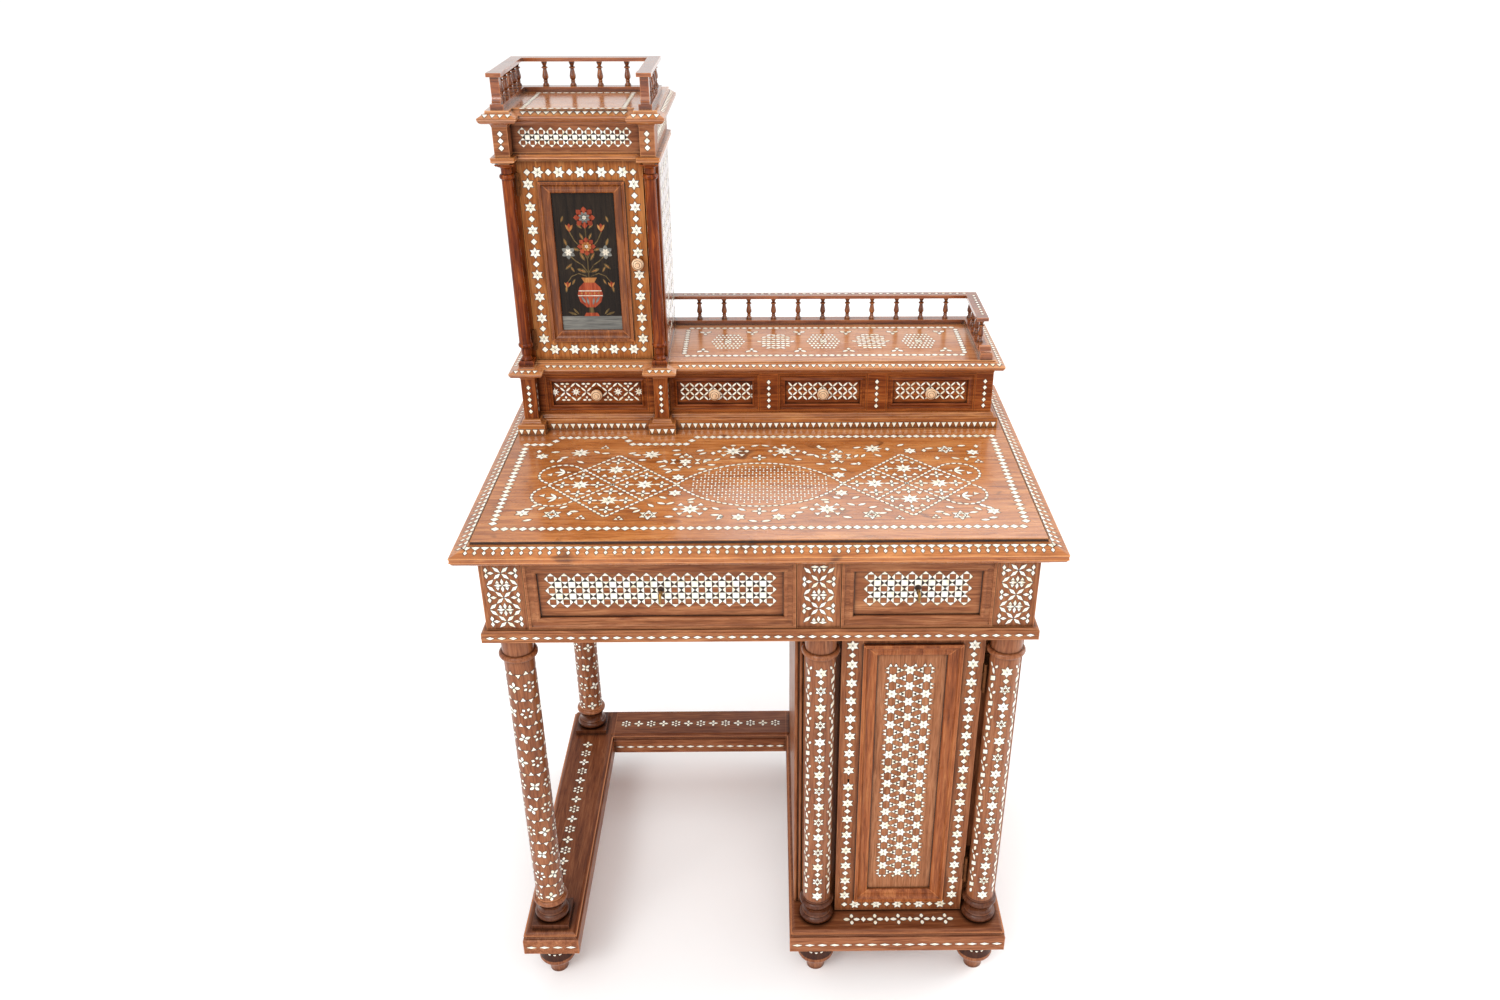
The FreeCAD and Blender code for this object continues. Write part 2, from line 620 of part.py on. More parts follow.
def make_pedestal():
    """Two sides, a back and the two front stiles that the door closes on."""
    inside_face = BODY_FACE + PEDESTAL_STILE_THICKNESS
    side = [box(x, x + PEDESTAL_WALL, inside_face, BODY_REAR, PLINTH_TOP, WAIST_BOTTOM)
            for x in (BODY_LEFT, BODY_RIGHT - PEDESTAL_WALL)]
    back = box(BODY_LEFT + PEDESTAL_WALL, BODY_RIGHT - PEDESTAL_WALL,
               BODY_REAR - PEDESTAL_BACK_WALL, BODY_REAR, PLINTH_TOP, WAIST_BOTTOM)
    save("pedestal_walls", *side, back)
    spans = ((BODY_LEFT, DOOR_LEFT + DOOR_LAP), (BODY_RIGHT, DOOR_RIGHT - DOOR_LAP))
    save("pedestal_stiles", *[prism(beaded_stile(outer, inner, BODY_FACE, inside_face),
                                    PLINTH_TOP, WAIST_BOTTOM) for outer, inner in spans])


def framed_panel(edges, stile, rails, face, thickness, width, proud, recess,
                 panel_thickness, lap):
    """Stiles and rails of a door, its mitred mouldings and the panel that they hold."""
    x0, x1, z0, z1 = edges
    back = face + thickness
    inner = (x0 + stile, x1 - stile, z0 + rails[0], z1 - rails[1])
    frame = [box(x0, inner[0], face, back, z0, z1), box(inner[1], x1, face, back, z0, z1),
             box(inner[0], inner[1], face, back, z0, inner[2]),
             box(inner[0], inner[1], face, back, inner[3], z1)]
    floor = -recess - panel_thickness
    section = frame_section(width, proud, recess)
    section = section[1:] + [(lap - width, -recess), (lap - width, floor), (0, floor)]
    trim = upright(moulding(rectangle(*inner), section, 0, closed=True), face)
    held = width - lap
    panel = box(inner[0] + held, inner[1] - held, face + recess, face - floor,
                inner[2] + held, inner[3] - held)
    return frame, trim, panel


def keyhole(x, z, y0, y1):
    """Cutter for a round keyhole with its slot for the bit below."""
    half = KEY_BIT_THICKNESS / 2 + KEY_BIT_CLEARANCE
    hole = bar(KEY_SHANK_RADIUS + FIT_CLEARANCE, x, z, y0, y1)
    return hole.fuse(box(x - half, x + half, y0, y1, z - KEY_BIT_DROP - KEY_BIT_CLEARANCE, z))


def make_pedestal_door():
    """Door between the columns: inlaid frame, moulding and panel, with its lock."""
    frame, trim, panel = framed_panel(
        (DOOR_LEFT, DOOR_RIGHT, DOOR_BOTTOM, DOOR_TOP), DOOR_STILE,
        (DOOR_BOTTOM_RAIL, DOOR_TOP_RAIL), DOOR_FACE, DOOR_THICKNESS, DOOR_MOULDING_WIDTH,
        DOOR_MOULDING_PROUD, DOOR_PANEL_RECESS, DOOR_PANEL_THICKNESS, DOOR_PANEL_LAP)
    x = DOOR_LEFT + DOOR_STILE / 2
    z = PLINTH_TOP + DOOR_KEYHOLE_RISE
    hole = keyhole(x, z, DOOR_FACE, DOOR_BACK)
    lock = box(x - DOOR_LOCK_WIDTH / 2, x + DOOR_LOCK_WIDTH / 2, DOOR_BACK - LOCK_THICKNESS,
               DOOR_BACK, z - LOCK_WIDTH / 2, z + LOCK_WIDTH / 2)
    frame[0] = frame[0].cut(hole).cut(lock)
    lock = lock.cut(hole)
    for z_hinge in hinge_heights(DOOR_BOTTOM, DOOR_TOP, HINGE_END_DISTANCE):
        frame[1] = frame[1].cut(door_leaf(z_hinge))
    save("pedestal_door_frame", *frame)
    save("pedestal_door_moulding", *trim)
    save("pedestal_door_panel", panel)
    save("pedestal_door_lock", lock)


# ------------------------------------------------------------------------- hinges
def hinge_heights(low, high, distance):
    """Middle heights of a door's two hinges."""
    return (low + distance, high - distance)


def knuckle(axis, z0, z1, radius, bore):
    """Tube of a hinge about a vertical axis."""
    tube = Part.makeCylinder(radius, z1 - z0, V(axis[0], axis[1], z0))
    return tube.cut(Part.makeCylinder(bore, z1 - z0, V(axis[0], axis[1], z0)))


def door_leaf(z):
    """Leaf let into the edge of the pedestal door."""
    half = HINGE_LENGTH / 2
    return box(DOOR_RIGHT - HINGE_LEAF, DOOR_RIGHT, DOOR_FACE,
               DOOR_FACE + HINGE_LEAF_DEPTH, z - half, z + half)


def pedestal_hinge(z):
    """Door half and case half of one pedestal hinge; the pin stays with the case half."""
    half = HINGE_LENGTH / 2
    third = HINGE_LENGTH / 6
    gap = HINGE_KNUCKLE_GAP
    radius = HINGE_KNUCKLE_RADIUS
    bore = HINGE_PIN_RADIUS + FIT_CLEARANCE
    ax, ay = DOOR_AXIS
    middle = knuckle(DOOR_AXIS, z - third + gap, z + third - gap, radius, bore)
    neck = box(DOOR_RIGHT - HINGE_LEAF, ax, ay + bore, DOOR_FACE + HINGE_LEAF,
               z - third + gap, z + third - gap)
    inner = Part.makeCylinder(bore, HINGE_LENGTH, V(ax, ay, z - half))
    moving = joined([middle, neck.cut(inner), door_leaf(z)])
    pin = Part.makeCylinder(HINGE_PIN_RADIUS, HINGE_LENGTH, V(ax, ay, z - half))
    ends = [knuckle(DOOR_AXIS, z - half, z - third, radius, HINGE_PIN_RADIUS),
            knuckle(DOOR_AXIS, z + third, z + half, radius, HINGE_PIN_RADIUS)]
    straps = []
    for z0, z1 in ((z - half, z - third), (z + third, z + half)):
        straps.append(box(ax - HINGE_LEAF / 2, ax + HINGE_LEAF / 2, ay + HINGE_PIN_RADIUS,
                          BODY_FACE, z0, z1))
    plate = box(ax - HINGE_LEAF / 2, ax + HINGE_LEAF_DEPTH, BODY_FACE - HINGE_LEAF,
                BODY_FACE, z - half, z + half)
    return moving, joined([pin] + ends + straps + [plate])


def tower_leaf(x0, x1, z):
    """Leaf of a tower hinge, let into the edge at the gap."""
    half = TOWER_HINGE_LENGTH / 2
    return box(x0, x1, TOWER_FACE, TOWER_FACE + HINGE_LEAF_DEPTH / 2, z - half, z + half)


def tower_door_leaf(z):
    """The tower door's own leaf."""
    return tower_leaf(TOWER_DOOR_LEFT, TOWER_DOOR_LEFT + HINGE_LEAF, z)


def tower_stile_leaf(z):
    """The leaf on the tower's left stile."""
    edge = -CASE_LEFT + PILASTER_WIDTH
    return tower_leaf(edge - HINGE_LEAF, edge, z)


def tower_hinge(z):
    """Door half and case half of one tower hinge."""
    half = TOWER_HINGE_LENGTH / 2
    third = TOWER_HINGE_LENGTH / 6
    gap = HINGE_KNUCKLE_GAP
    radius = TOWER_KNUCKLE_RADIUS
    bore = TOWER_PIN_RADIUS + FIT_CLEARANCE
    ax, ay = TOWER_AXIS
    hole = Part.makeCylinder(bore, TOWER_HINGE_LENGTH, V(ax, ay, z - half))
    moving = joined([
        knuckle(TOWER_AXIS, z - third + gap, z + third - gap, radius, bore),
        box(ax, TOWER_DOOR_LEFT + HINGE_LEAF, ay, TOWER_FACE,
            z - third + gap, z + third - gap).cut(hole),
        tower_door_leaf(z)])
    fixed = [Part.makeCylinder(TOWER_PIN_RADIUS, TOWER_HINGE_LENGTH, V(ax, ay, z - half)),
             tower_stile_leaf(z)]
    for z0, z1 in ((z - half, z - third), (z + third, z + half)):
        fixed.append(knuckle(TOWER_AXIS, z0, z1, radius, TOWER_PIN_RADIUS))
        arm = box(-CASE_LEFT + PILASTER_WIDTH - HINGE_LEAF, ax, ay, TOWER_FACE, z0, z1)
        fixed.append(arm)
    return moving, joined(fixed)


def make_hinges():
    """Both doors' hinges: the moving halves by door, the case halves together."""
    low, high = hinge_heights(DOOR_BOTTOM, DOOR_TOP, HINGE_END_DISTANCE)
    pedestal = [pedestal_hinge(low), pedestal_hinge(high)]
    low, high = hinge_heights(TOWER_DOOR_BOTTOM, TOWER_DOOR_TOP, TOWER_HINGE_END_DISTANCE)
    tower = [tower_hinge(low), tower_hinge(high)]
    save("pedestal_door_hinges", *[moving for moving, _ in pedestal])
    save("tower_door_hinges", *[moving for moving, _ in tower])
    save("case_hinge_plates", *[fixed for _, fixed in pedestal + tower])


# ---------------------------------------------------------------- waist and frieze
def make_waist():
    """Board between columns and frieze, its top edge chamfered."""
    half = WAIST_WIDTH / 2
    path = [(-half, REAR - WAIST_REAR_INSET), (-half, FRONT + WAIST_FRONT_INSET),
            (half, FRONT + WAIST_FRONT_INSET), (half, REAR - WAIST_REAR_INSET)]
    section = [(-2 * WAIST_CHAMFER, 0), (0, 0), (0, WAIST_THICKNESS - WAIST_CHAMFER),
               (-WAIST_CHAMFER, WAIST_THICKNESS, 0.4), (-2 * WAIST_CHAMFER, WAIST_THICKNESS)]
    save("waist_board", moulded_board(path, section, WAIST_BOTTOM, WAIST_TOP))


def make_frieze():
    """Ends, back, front stiles and the guides that keep the drawers straight."""
    half = FRIEZE_WIDTH / 2
    inside = FRIEZE_FACE + FRIEZE_STILE_THICKNESS
    ends = [box(x, x + FRIEZE_WALL, inside, FRIEZE_REAR, WAIST_TOP, TOP_BOTTOM)
            for x in (-half, half - FRIEZE_WALL)]
    back = box(-half + FRIEZE_WALL, half - FRIEZE_WALL, FRIEZE_REAR - FRIEZE_WALL,
               FRIEZE_REAR, WAIST_TOP, TOP_BOTTOM)
    save("frieze_walls", *ends, back)
    spans = ((-half, LEFT_BAY[0]), (LEFT_BAY[1], RIGHT_BAY[0]), (RIGHT_BAY[1], half))
    save("frieze_stiles", *[box(x0, x1, FRIEZE_FACE, inside, WAIST_TOP, TOP_BOTTOM)
                            for x0, x1 in spans])
    guides = [LEFT_BAY[0] - DRAWER_GUIDE_WIDTH, LEFT_BAY[1],
              RIGHT_BAY[0] - DRAWER_GUIDE_WIDTH, RIGHT_BAY[1]]
    save("drawer_guides", *[box(x, x + DRAWER_GUIDE_WIDTH, inside, FRIEZE_REAR - FRIEZE_WALL,
                                WAIST_TOP, WAIST_TOP + DRAWER_GUIDE_HEIGHT) for x in guides])


def make_top():
    """Writing top, its edge moulded and bevelled, with the housing the case stands in."""
    half = TOP_WIDTH / 2
    path = [(-half, REAR), (-half, FRONT), (half, FRONT), (half, REAR)]
    board = moulded_board(path, top_section(), TOP_BOTTOM, TOP_SURFACE)
    housing = prism(offset_path(case_path(), CASE_BASE_PROJECTION),
                    TOP_SURFACE - CASE_HOUSING, TOP_SURFACE)
    save("top_board", board.cut(housing))


# ------------------------------------------------------------------ frieze drawers
def drawer_front(x0, x1, z0, z1, face, thickness, width, proud, recess):
    """Drawer front with a moulded border round a sunk panel, in one piece."""
    board = box(x0, x1, face + recess, face + thickness, z0, z1)
    section = frame_section(width, proud, recess)
    trim = upright(moulding(rectangle(x0, x1, z0, z1), section, 0, closed=True), face)
    return joined([board] + trim)


def drawer_box(x0, x1, y0, y1, z0, z1, side, bottom):
    """Two sides, back and bottom of a drawer, as four solids."""
    return [box(x0, x0 + side, y0, y1, z0, z1),
            box(x1 - side, x1, y0, y1, z0, z1),
            box(x0 + side, x1 - side, y1 - side, y1, z0, z1),
            box(x0 + side, x1 - side, y0, y1 - side, z0, z0 + bottom)]


def key_bow(x, y, z):
    """Flat oval ring in the YZ plane, centred on a point."""
    half_y, half_z = KEY_BOW_LENGTH / 2, KEY_BOW_HEIGHT / 2
    oval = Part.Ellipse(ORIGIN, half_z, half_y).toShape()
    hole = Part.Ellipse(ORIGIN, half_z - KEY_BOW_RING, half_y - KEY_BOW_RING).toShape()
    bow = Part.Face(Part.Wire(oval)).cut(Part.Face(Part.Wire(hole)))
    bow = bow.extrude(V(0, 0, KEY_BOW_THICKNESS))
    bow.rotate(ORIGIN, V(0, 1, 0), 90)
    bow.translate(V(x - KEY_BOW_THICKNESS / 2, y, z))
    return bow


def drawer_key(x, z, face):
    """Key standing in the lock: ring bow, collar, shank and bit."""
    shoulder = face - KEY_SHANK_OUT
    tip = FRIEZE_FACE + DRAWER_FRONT_THICKNESS - KEY_BIT_LENGTH / 2
    half = KEY_BIT_THICKNESS / 2
    return joined([bar(KEY_SHANK_RADIUS, x, z, shoulder - KEY_BOW_RING / 2, tip),
                   bar(KEY_COLLAR_RADIUS, x, z, shoulder, shoulder + KEY_COLLAR_LENGTH),
                   key_bow(x, shoulder - KEY_BOW_LENGTH / 2, z),
                   box(x - half, x + half, tip - KEY_BIT_LENGTH, tip, z - KEY_BIT_DROP, z)])


def make_frieze_drawer(name, bay):
    """One frieze drawer: front, box, lock and key."""
    x0, x1 = bay[0] + DRAWER_GAP, bay[1] - DRAWER_GAP
    z0, z1 = WAIST_TOP + DRAWER_GAP / 2, TOP_BOTTOM - DRAWER_GAP
    face = FRIEZE_FACE
    back = face + DRAWER_FRONT_THICKNESS
    x = (x0 + x1) / 2
    z = (z0 + z1) / 2 + LOCK_RISE
    front = drawer_front(x0, x1, z0, z1, face, DRAWER_FRONT_THICKNESS,
                         DRAWER_MOULDING_WIDTH, DRAWER_MOULDING_PROUD, DRAWER_PANEL_RECESS)
    case = box(x - LOCK_WIDTH / 2, x + LOCK_WIDTH / 2, back - LOCK_THICKNESS, back,
               z - LOCK_HEIGHT / 2, z + LOCK_HEIGHT / 2)
    front = front.cut(case).cut(keyhole(x, z, face, back))
    bit_back = back - KEY_BIT_LENGTH / 2
    chamber = bar(KEY_BIT_DROP + KEY_BIT_CLEARANCE, x, z,
                  bit_back - KEY_BIT_LENGTH - KEY_BIT_CLEARANCE, bit_back + KEY_BIT_CLEARANCE)
    lock = case.cut(keyhole(x, z, face, back)).cut(chamber)
    drawer = drawer_box(x0, x1, back, FRIEZE_REAR - FRIEZE_WALL - DRAWER_REAR_CLEARANCE,
                        z0, z1 - DRAWER_SIDE_DROP, DRAWER_SIDE_THICKNESS,
                        DRAWER_BOTTOM_THICKNESS)
    save(name + "_front", front)
    save(name + "_box", *drawer)
    save(name + "_lock", lock)
    save(name + "_key", drawer_key(x, z, face + DRAWER_PANEL_RECESS))


# -------------------------------------------------------------------- drawer case
def case_path():
    """Face outline of the case in plan, with its two pilasters, open at the rear."""
    left, right = -CASE_LEFT, CASE_RIGHT
    return [(left, CASE_REAR), (left, PILASTER_FACE), (left + PILASTER_WIDTH, PILASTER_FACE),
            (left + PILASTER_WIDTH, CASE_FACE), (TOWER_RIGHT - PILASTER_WIDTH, CASE_FACE),
            (TOWER_RIGHT - PILASTER_WIDTH, PILASTER_FACE), (TOWER_RIGHT, PILASTER_FACE),
            (TOWER_RIGHT, CASE_FACE), (right, CASE_FACE), (right, CASE_REAR)]


def small_bays():
    """Left and right edges of the four small drawers' openings."""
    first = (-CASE_LEFT + PILASTER_WIDTH + CASE_TOWER_STILE,
             TOWER_RIGHT - PILASTER_WIDTH - CASE_TOWER_STILE)
    start = TOWER_RIGHT + 2 * SMALL_DRAWER_GAP
    end = CASE_RIGHT - CASE_END_STILE
    width = (end - start - 2 * CASE_INNER_STILE) / 3
    bays = [first]
    for i in range(3):
        left = start + i * (width + CASE_INNER_STILE)
        bays.append((left, left + width))
    return bays


def make_case():
    """Base and top boards with breakfront mouldings, the face frame, walls and dividers."""
    path = case_path()
    save("case_base", moulded_board(path, case_base_section(), TOP_SURFACE - CASE_HOUSING,
                                    CASE_FACE_BOTTOM))
    section = cornice_section(CASE_TOP_PROJECTION, CASE_TOP_BEVEL, CASE_TOP_THICKNESS,
                              CASE_TOP_LIP, CASE_TOP_STEP)
    shelf = moulded_board(path, section, CASE_FACE_TOP, SHELF).cut(tower_floor())
    for let_in in shelf_kerbs() + [shelf_block()]:
        shelf = shelf.cut(let_in)
    save("case_top", shelf)
    low, high = CASE_FACE_BOTTOM, CASE_FACE_TOP
    inside = CASE_FACE + CASE_FACE_THICKNESS
    bays = small_bays()
    rails = (low + CASE_BOTTOM_RAIL, high - CASE_TOP_RAIL)
    edges = [-CASE_LEFT] + [edge for bay in bays for edge in bay] + [CASE_RIGHT]
    frame = [box(-CASE_LEFT, CASE_RIGHT, CASE_FACE, inside, low, rails[0]),
             box(-CASE_LEFT, CASE_RIGHT, CASE_FACE, inside, rails[1], high)]
    for x0, x1 in zip(edges[0::2], edges[1::2]):
        frame.append(box(x0, x1, CASE_FACE, inside, *rails))
    save("case_face", *frame)
    save("case_pilasters", *[box(x, x + PILASTER_WIDTH, PILASTER_FACE, CASE_FACE, low, high)
                             for x in (-CASE_LEFT, TOWER_RIGHT - PILASTER_WIDTH)])
    walls = [box(x, x + CASE_WALL, inside, CASE_REAR, low, high)
             for x in (-CASE_LEFT, CASE_RIGHT - CASE_WALL)]
    walls.append(box(-CASE_LEFT + CASE_WALL, CASE_RIGHT - CASE_WALL,
                     CASE_REAR - CASE_BACK_WALL, CASE_REAR, low, high))
    for before, after in zip(bays, bays[1:]):
        middle = (before[1] + after[0]) / 2
        walls.append(box(middle - CASE_WALL / 2, middle + CASE_WALL / 2, inside,
                         CASE_REAR - CASE_BACK_WALL, low, high))
    save("case_walls", *walls)


def knob_socket(x, z, face):
    """Cutter for the hole that a knob's tenon fills."""
    return bar(KNOB_TENON_RADIUS, x, z, face, face + KNOB_TENON_LENGTH)


def knob(x, face, z):
    """Turned bone knob: tenon, stem, domed head and the button at its middle."""
    stem, head, button = KNOB_STEM_RADIUS, KNOB_RADIUS, KNOB_BUTTON_RADIUS
    flare, girth, brow = KNOB_LENGTH * 0.32, KNOB_LENGTH * 0.55, KNOB_LENGTH * 0.85
    section = [(0, -KNOB_TENON_LENGTH), (KNOB_TENON_RADIUS, -KNOB_TENON_LENGTH),
               (KNOB_TENON_RADIUS, 0), (stem, 0), (stem, flare - 1), (stem + 1, flare),
               (head, girth, -0.35), (head - 1.5, brow, -0.4), (button + 0.5, brow + 0.5),
               (button, KNOB_LENGTH), (0, KNOB_LENGTH)]
    body = turned(section, 0, 0, 0)
    upright([body], face)
    body.translate(V(x, 0, z))
    return body


def make_small_drawer(number, bay):
    """One small drawer with its moulded front, box and knob."""
    gap = SMALL_DRAWER_GAP
    x0, x1 = bay[0] + gap, bay[1] - gap
    z0 = CASE_FACE_BOTTOM + CASE_BOTTOM_RAIL + gap / 2
    z1 = CASE_FACE_TOP - CASE_TOP_RAIL - gap
    x, z = (x0 + x1) / 2, (z0 + z1) / 2
    back = CASE_FACE + SMALL_FRONT_THICKNESS
    seat = CASE_FACE + SMALL_PANEL_RECESS
    front = drawer_front(x0, x1, z0, z1, CASE_FACE, SMALL_FRONT_THICKNESS,
                         SMALL_MOULDING_WIDTH, 0, SMALL_PANEL_RECESS)
    front = front.cut(knob_socket(x, z, seat))
    drawer = drawer_box(x0, x1, back, CASE_REAR - CASE_BACK_WALL - SMALL_REAR_CLEARANCE,
                        z0, z1 - CASE_TOP_RAIL, SMALL_SIDE_THICKNESS,
                        SMALL_BOTTOM_THICKNESS)
    name = "small_drawer_%d" % number
    save(name, front, *drawer)
    save(name + "_knob", knob(x, seat, z))


# -------------------------------------------------------------------------- tower
def tower_path(centre_face):
    """Plan of the tower's entablature, with a block over each column."""
    left, right = -CASE_LEFT, TOWER_RIGHT
    return [(left, CASE_REAR), (left, PILASTER_FACE), (left + PILASTER_WIDTH, PILASTER_FACE),
            (left + PILASTER_WIDTH, centre_face), (right - PILASTER_WIDTH, centre_face),
            (right - PILASTER_WIDTH, PILASTER_FACE), (right, PILASTER_FACE),
            (right, CASE_REAR)]


def tower_floor():
    """Floor of the cabinet, let into the shelf flush with its edge; the columns stand on it."""
    margin = CASE_TOP_PROJECTION - CASE_TOP_BEVEL
    return prism(offset_path(tower_path(TOWER_FACE), margin),
                 SHELF - TOWER_FLOOR_THICKNESS, SHELF)


def make_tower_body():
    """Sides, back, floor and front stiles of the cabinet."""
    inside = TOWER_FACE + TOWER_STILE_THICKNESS
    low, high = SHELF, ARCHITRAVE_BOTTOM
    left, right = -CASE_LEFT, TOWER_RIGHT
    sides = [box(x, x + TOWER_WALL, inside, CASE_REAR, low, high)
             for x in (left, right - TOWER_WALL)]
    back = box(left + TOWER_WALL, right - TOWER_WALL, CASE_REAR - TOWER_BACK_WALL,
               CASE_REAR, low, high)
    save("tower_walls", *sides, back, tower_floor())
    stiles = [box(x, x + PILASTER_WIDTH, TOWER_FACE, inside, low, high)
              for x in (left, right - PILASTER_WIDTH)]
    for z in hinge_heights(TOWER_DOOR_BOTTOM, TOWER_DOOR_TOP, TOWER_HINGE_END_DISTANCE):
        stiles[0] = stiles[0].cut(tower_stile_leaf(z))
    save("tower_stiles", *stiles)


def tower_column_section():
    """Bell base, ring, tapering shaft, necking ring and flared capital."""
    r, neck, ring = TOWER_COLUMN_RADIUS, TOWER_COLUMN_NECK_RADIUS, TOWER_COLUMN_RING
    top = r - TOWER_COLUMN_TAPER
    fillet = 1.5
    foot = TOWER_BLOCK_HEIGHT
    head = TOWER_COLUMN_HEIGHT - TOWER_CAP_HEIGHT
    shaft_low = TOWER_COLUMN_BASE_HEIGHT
    shaft_high = TOWER_COLUMN_HEIGHT - TOWER_COLUMN_CAPITAL_HEIGHT
    return [(0, foot), (r, foot), (r, foot + fillet), (neck, foot + TOWER_BELL_HEIGHT, 0.4),
            (neck, shaft_low - ring), (r, shaft_low - ring), (r, shaft_low, -0.5),
            (top, shaft_high), (top + 1, shaft_high),
            (top + 1, shaft_high + ring, -0.5), (neck, shaft_high + ring),
            (neck, head - TOWER_CAP_BELL_HEIGHT),
            (TOWER_CAP_BELL_RADIUS, head - fillet, 0.4), (TOWER_CAP_BELL_RADIUS, head),
            (0, head)]


def tower_block(x, size, z0, z1, bevelled):
    """Square block under or over a tower column, its edges bevelled at one height."""
    half = size / 2
    block = box(x - half, x + half, TOWER_COLUMN_Y - half, TOWER_COLUMN_Y + half, z0, z1)
    rim = [edge for edge in block.Edges
           if all(abs(corner.Z - bevelled) < 0.01 for corner in edge.Vertexes)]
    return block.makeChamfer(min(TOWER_BLOCK_BEVEL, (z1 - z0) / 2), rim)


def make_tower_columns():
    """Two slender turned columns, each with its square base and capital block."""
    columns = []
    for x in TOWER_AXES:
        foot = SHELF + TOWER_BLOCK_HEIGHT
        head = ARCHITRAVE_BOTTOM - TOWER_CAP_HEIGHT
        columns.append(joined([turned(tower_column_section(), x, TOWER_COLUMN_Y, SHELF),
                               tower_block(x, TOWER_BLOCK_SIZE, SHELF, foot, foot),
                               tower_block(x, TOWER_CAP_SIZE, head, ARCHITRAVE_BOTTOM, head)]))
    save("tower_columns", *columns)


def make_entablature():
    """Architrave, frieze and cornice, each breaking forward over the columns."""
    path = tower_path(PILASTER_FACE + TOWER_FRIEZE_SETBACK)
    save("tower_architrave", moulded_board(path, architrave_section(),
                                           ARCHITRAVE_BOTTOM, TOWER_FRIEZE_BOTTOM))
    save("tower_frieze", prism(path, TOWER_FRIEZE_BOTTOM, CORNICE_BOTTOM))
    section = cornice_section(TOWER_CORNICE_PROJECTION, TOWER_CORNICE_BEVEL,
                              TOWER_CORNICE_HEIGHT, TOWER_CORNICE_LIP, TOWER_CORNICE_STEP)
    save("tower_cornice", moulded_board(path, section, CORNICE_BOTTOM, TOWER_TOP))


def make_tower_door():
    """Inset door with its moulding, picture panel and knob."""
    frame, trim, panel = framed_panel(
        (TOWER_DOOR_LEFT, TOWER_DOOR_RIGHT, TOWER_DOOR_BOTTOM, TOWER_DOOR_TOP),
        TOWER_DOOR_STILE, (TOWER_DOOR_BOTTOM_RAIL, TOWER_DOOR_TOP_RAIL), TOWER_FACE,
        TOWER_DOOR_THICKNESS, TOWER_MOULDING_WIDTH, TOWER_MOULDING_PROUD,
        TOWER_PANEL_RECESS, TOWER_PANEL_THICKNESS, TOWER_PANEL_LAP)
    for z in hinge_heights(TOWER_DOOR_BOTTOM, TOWER_DOOR_TOP, TOWER_HINGE_END_DISTANCE):
        frame[0] = frame[0].cut(tower_door_leaf(z))
    x = TOWER_DOOR_RIGHT - TOWER_DOOR_STILE / 2
    z = SHELF + TOWER_KNOB_RISE
    frame[1] = frame[1].cut(knob_socket(x, z, TOWER_FACE))
    save("tower_door_frame", *frame)
    save("tower_door_moulding", *trim)
    save("tower_door_panel", panel)
    save("tower_door_knob", knob(x, TOWER_FACE, z))


# ---------------------------------------------------------------------- galleries
def baluster_section(height):
    """Vase baluster from shares of its size: bell foot, bead, vase, ring and flared head."""
    foot = [(0, 0), (1, 0), (1, 0.06), (0.55, 0.16), (0.75, 0.2), (0.55, 0.24)]
    vase = [(0.95, 0.34), (0.95, 0.42), (0.55, 0.69)]
    head = [(0.95, 0.72), (0.95, 0.76), (0.5, 0.8), (0.9, 0.93), (0.9, 1), (0, 1)]
    return [(BALUSTER_RADIUS * radius, height * rise) for radius, rise in foot + vase + head]


def baluster_row(start, end, count, z, height):
    """Evenly spaced balusters from start to end in plan, both ends included."""
    section = baluster_section(height)
    row = []
    for i in range(count):
        share = i / (count - 1)
        x = start[0] + (end[0] - start[0]) * share
        y = start[1] + (end[1] - start[1]) * share
        row.append(turned(section, x, y, z))
    return row


def shelf_kerbs():
    """Kerbs along the back and right of the shelf, let into it and cut round the cabinet's floor."""
    low, high = SHELF - KERB_HOUSING, SHELF + KERB_HEIGHT
    inner = SHELF_GALLERY_RIGHT - KERB_WIDTH
    rear = box(TOWER_RIGHT, inner, CASE_REAR - KERB_WIDTH, CASE_REAR, low, high)
    return [rear.cut(tower_floor()),
            box(inner, SHELF_GALLERY_RIGHT, SHELF_GALLERY_FRONT + SHELF_BLOCK_SIZE,
                CASE_REAR, low, high)]


def shelf_block():
    """Block that ends the shelf's kerb at the front, let in like it."""
    half = SHELF_BLOCK_SIZE / 2
    return box(SHELF_GALLERY_X - half, SHELF_GALLERY_X + half, SHELF_GALLERY_FRONT,
               SHELF_GALLERY_FRONT + SHELF_BLOCK_SIZE, SHELF - KERB_HOUSING,
               SHELF + KERB_HEIGHT)


def shelf_scroll():
    """Low scroll on the block, rising towards the rail."""
    lip = SHELF_SCROLL_LIP
    side = [(0, 0), (SHELF_BLOCK_SIZE, 0), (SHELF_BLOCK_SIZE, SHELF_SCROLL_HEIGHT),
            (lip, lip, 0.35), (0, lip, 1.0)]
    curl = prism(side, 0, KERB_WIDTH)
    curl.rotate(ORIGIN, V(1, 0, 0), 90)
    curl.rotate(ORIGIN, UP, 90)
    curl.translate(V(SHELF_GALLERY_X - KERB_WIDTH / 2, SHELF_GALLERY_FRONT,
                     SHELF + KERB_HEIGHT))
    return curl


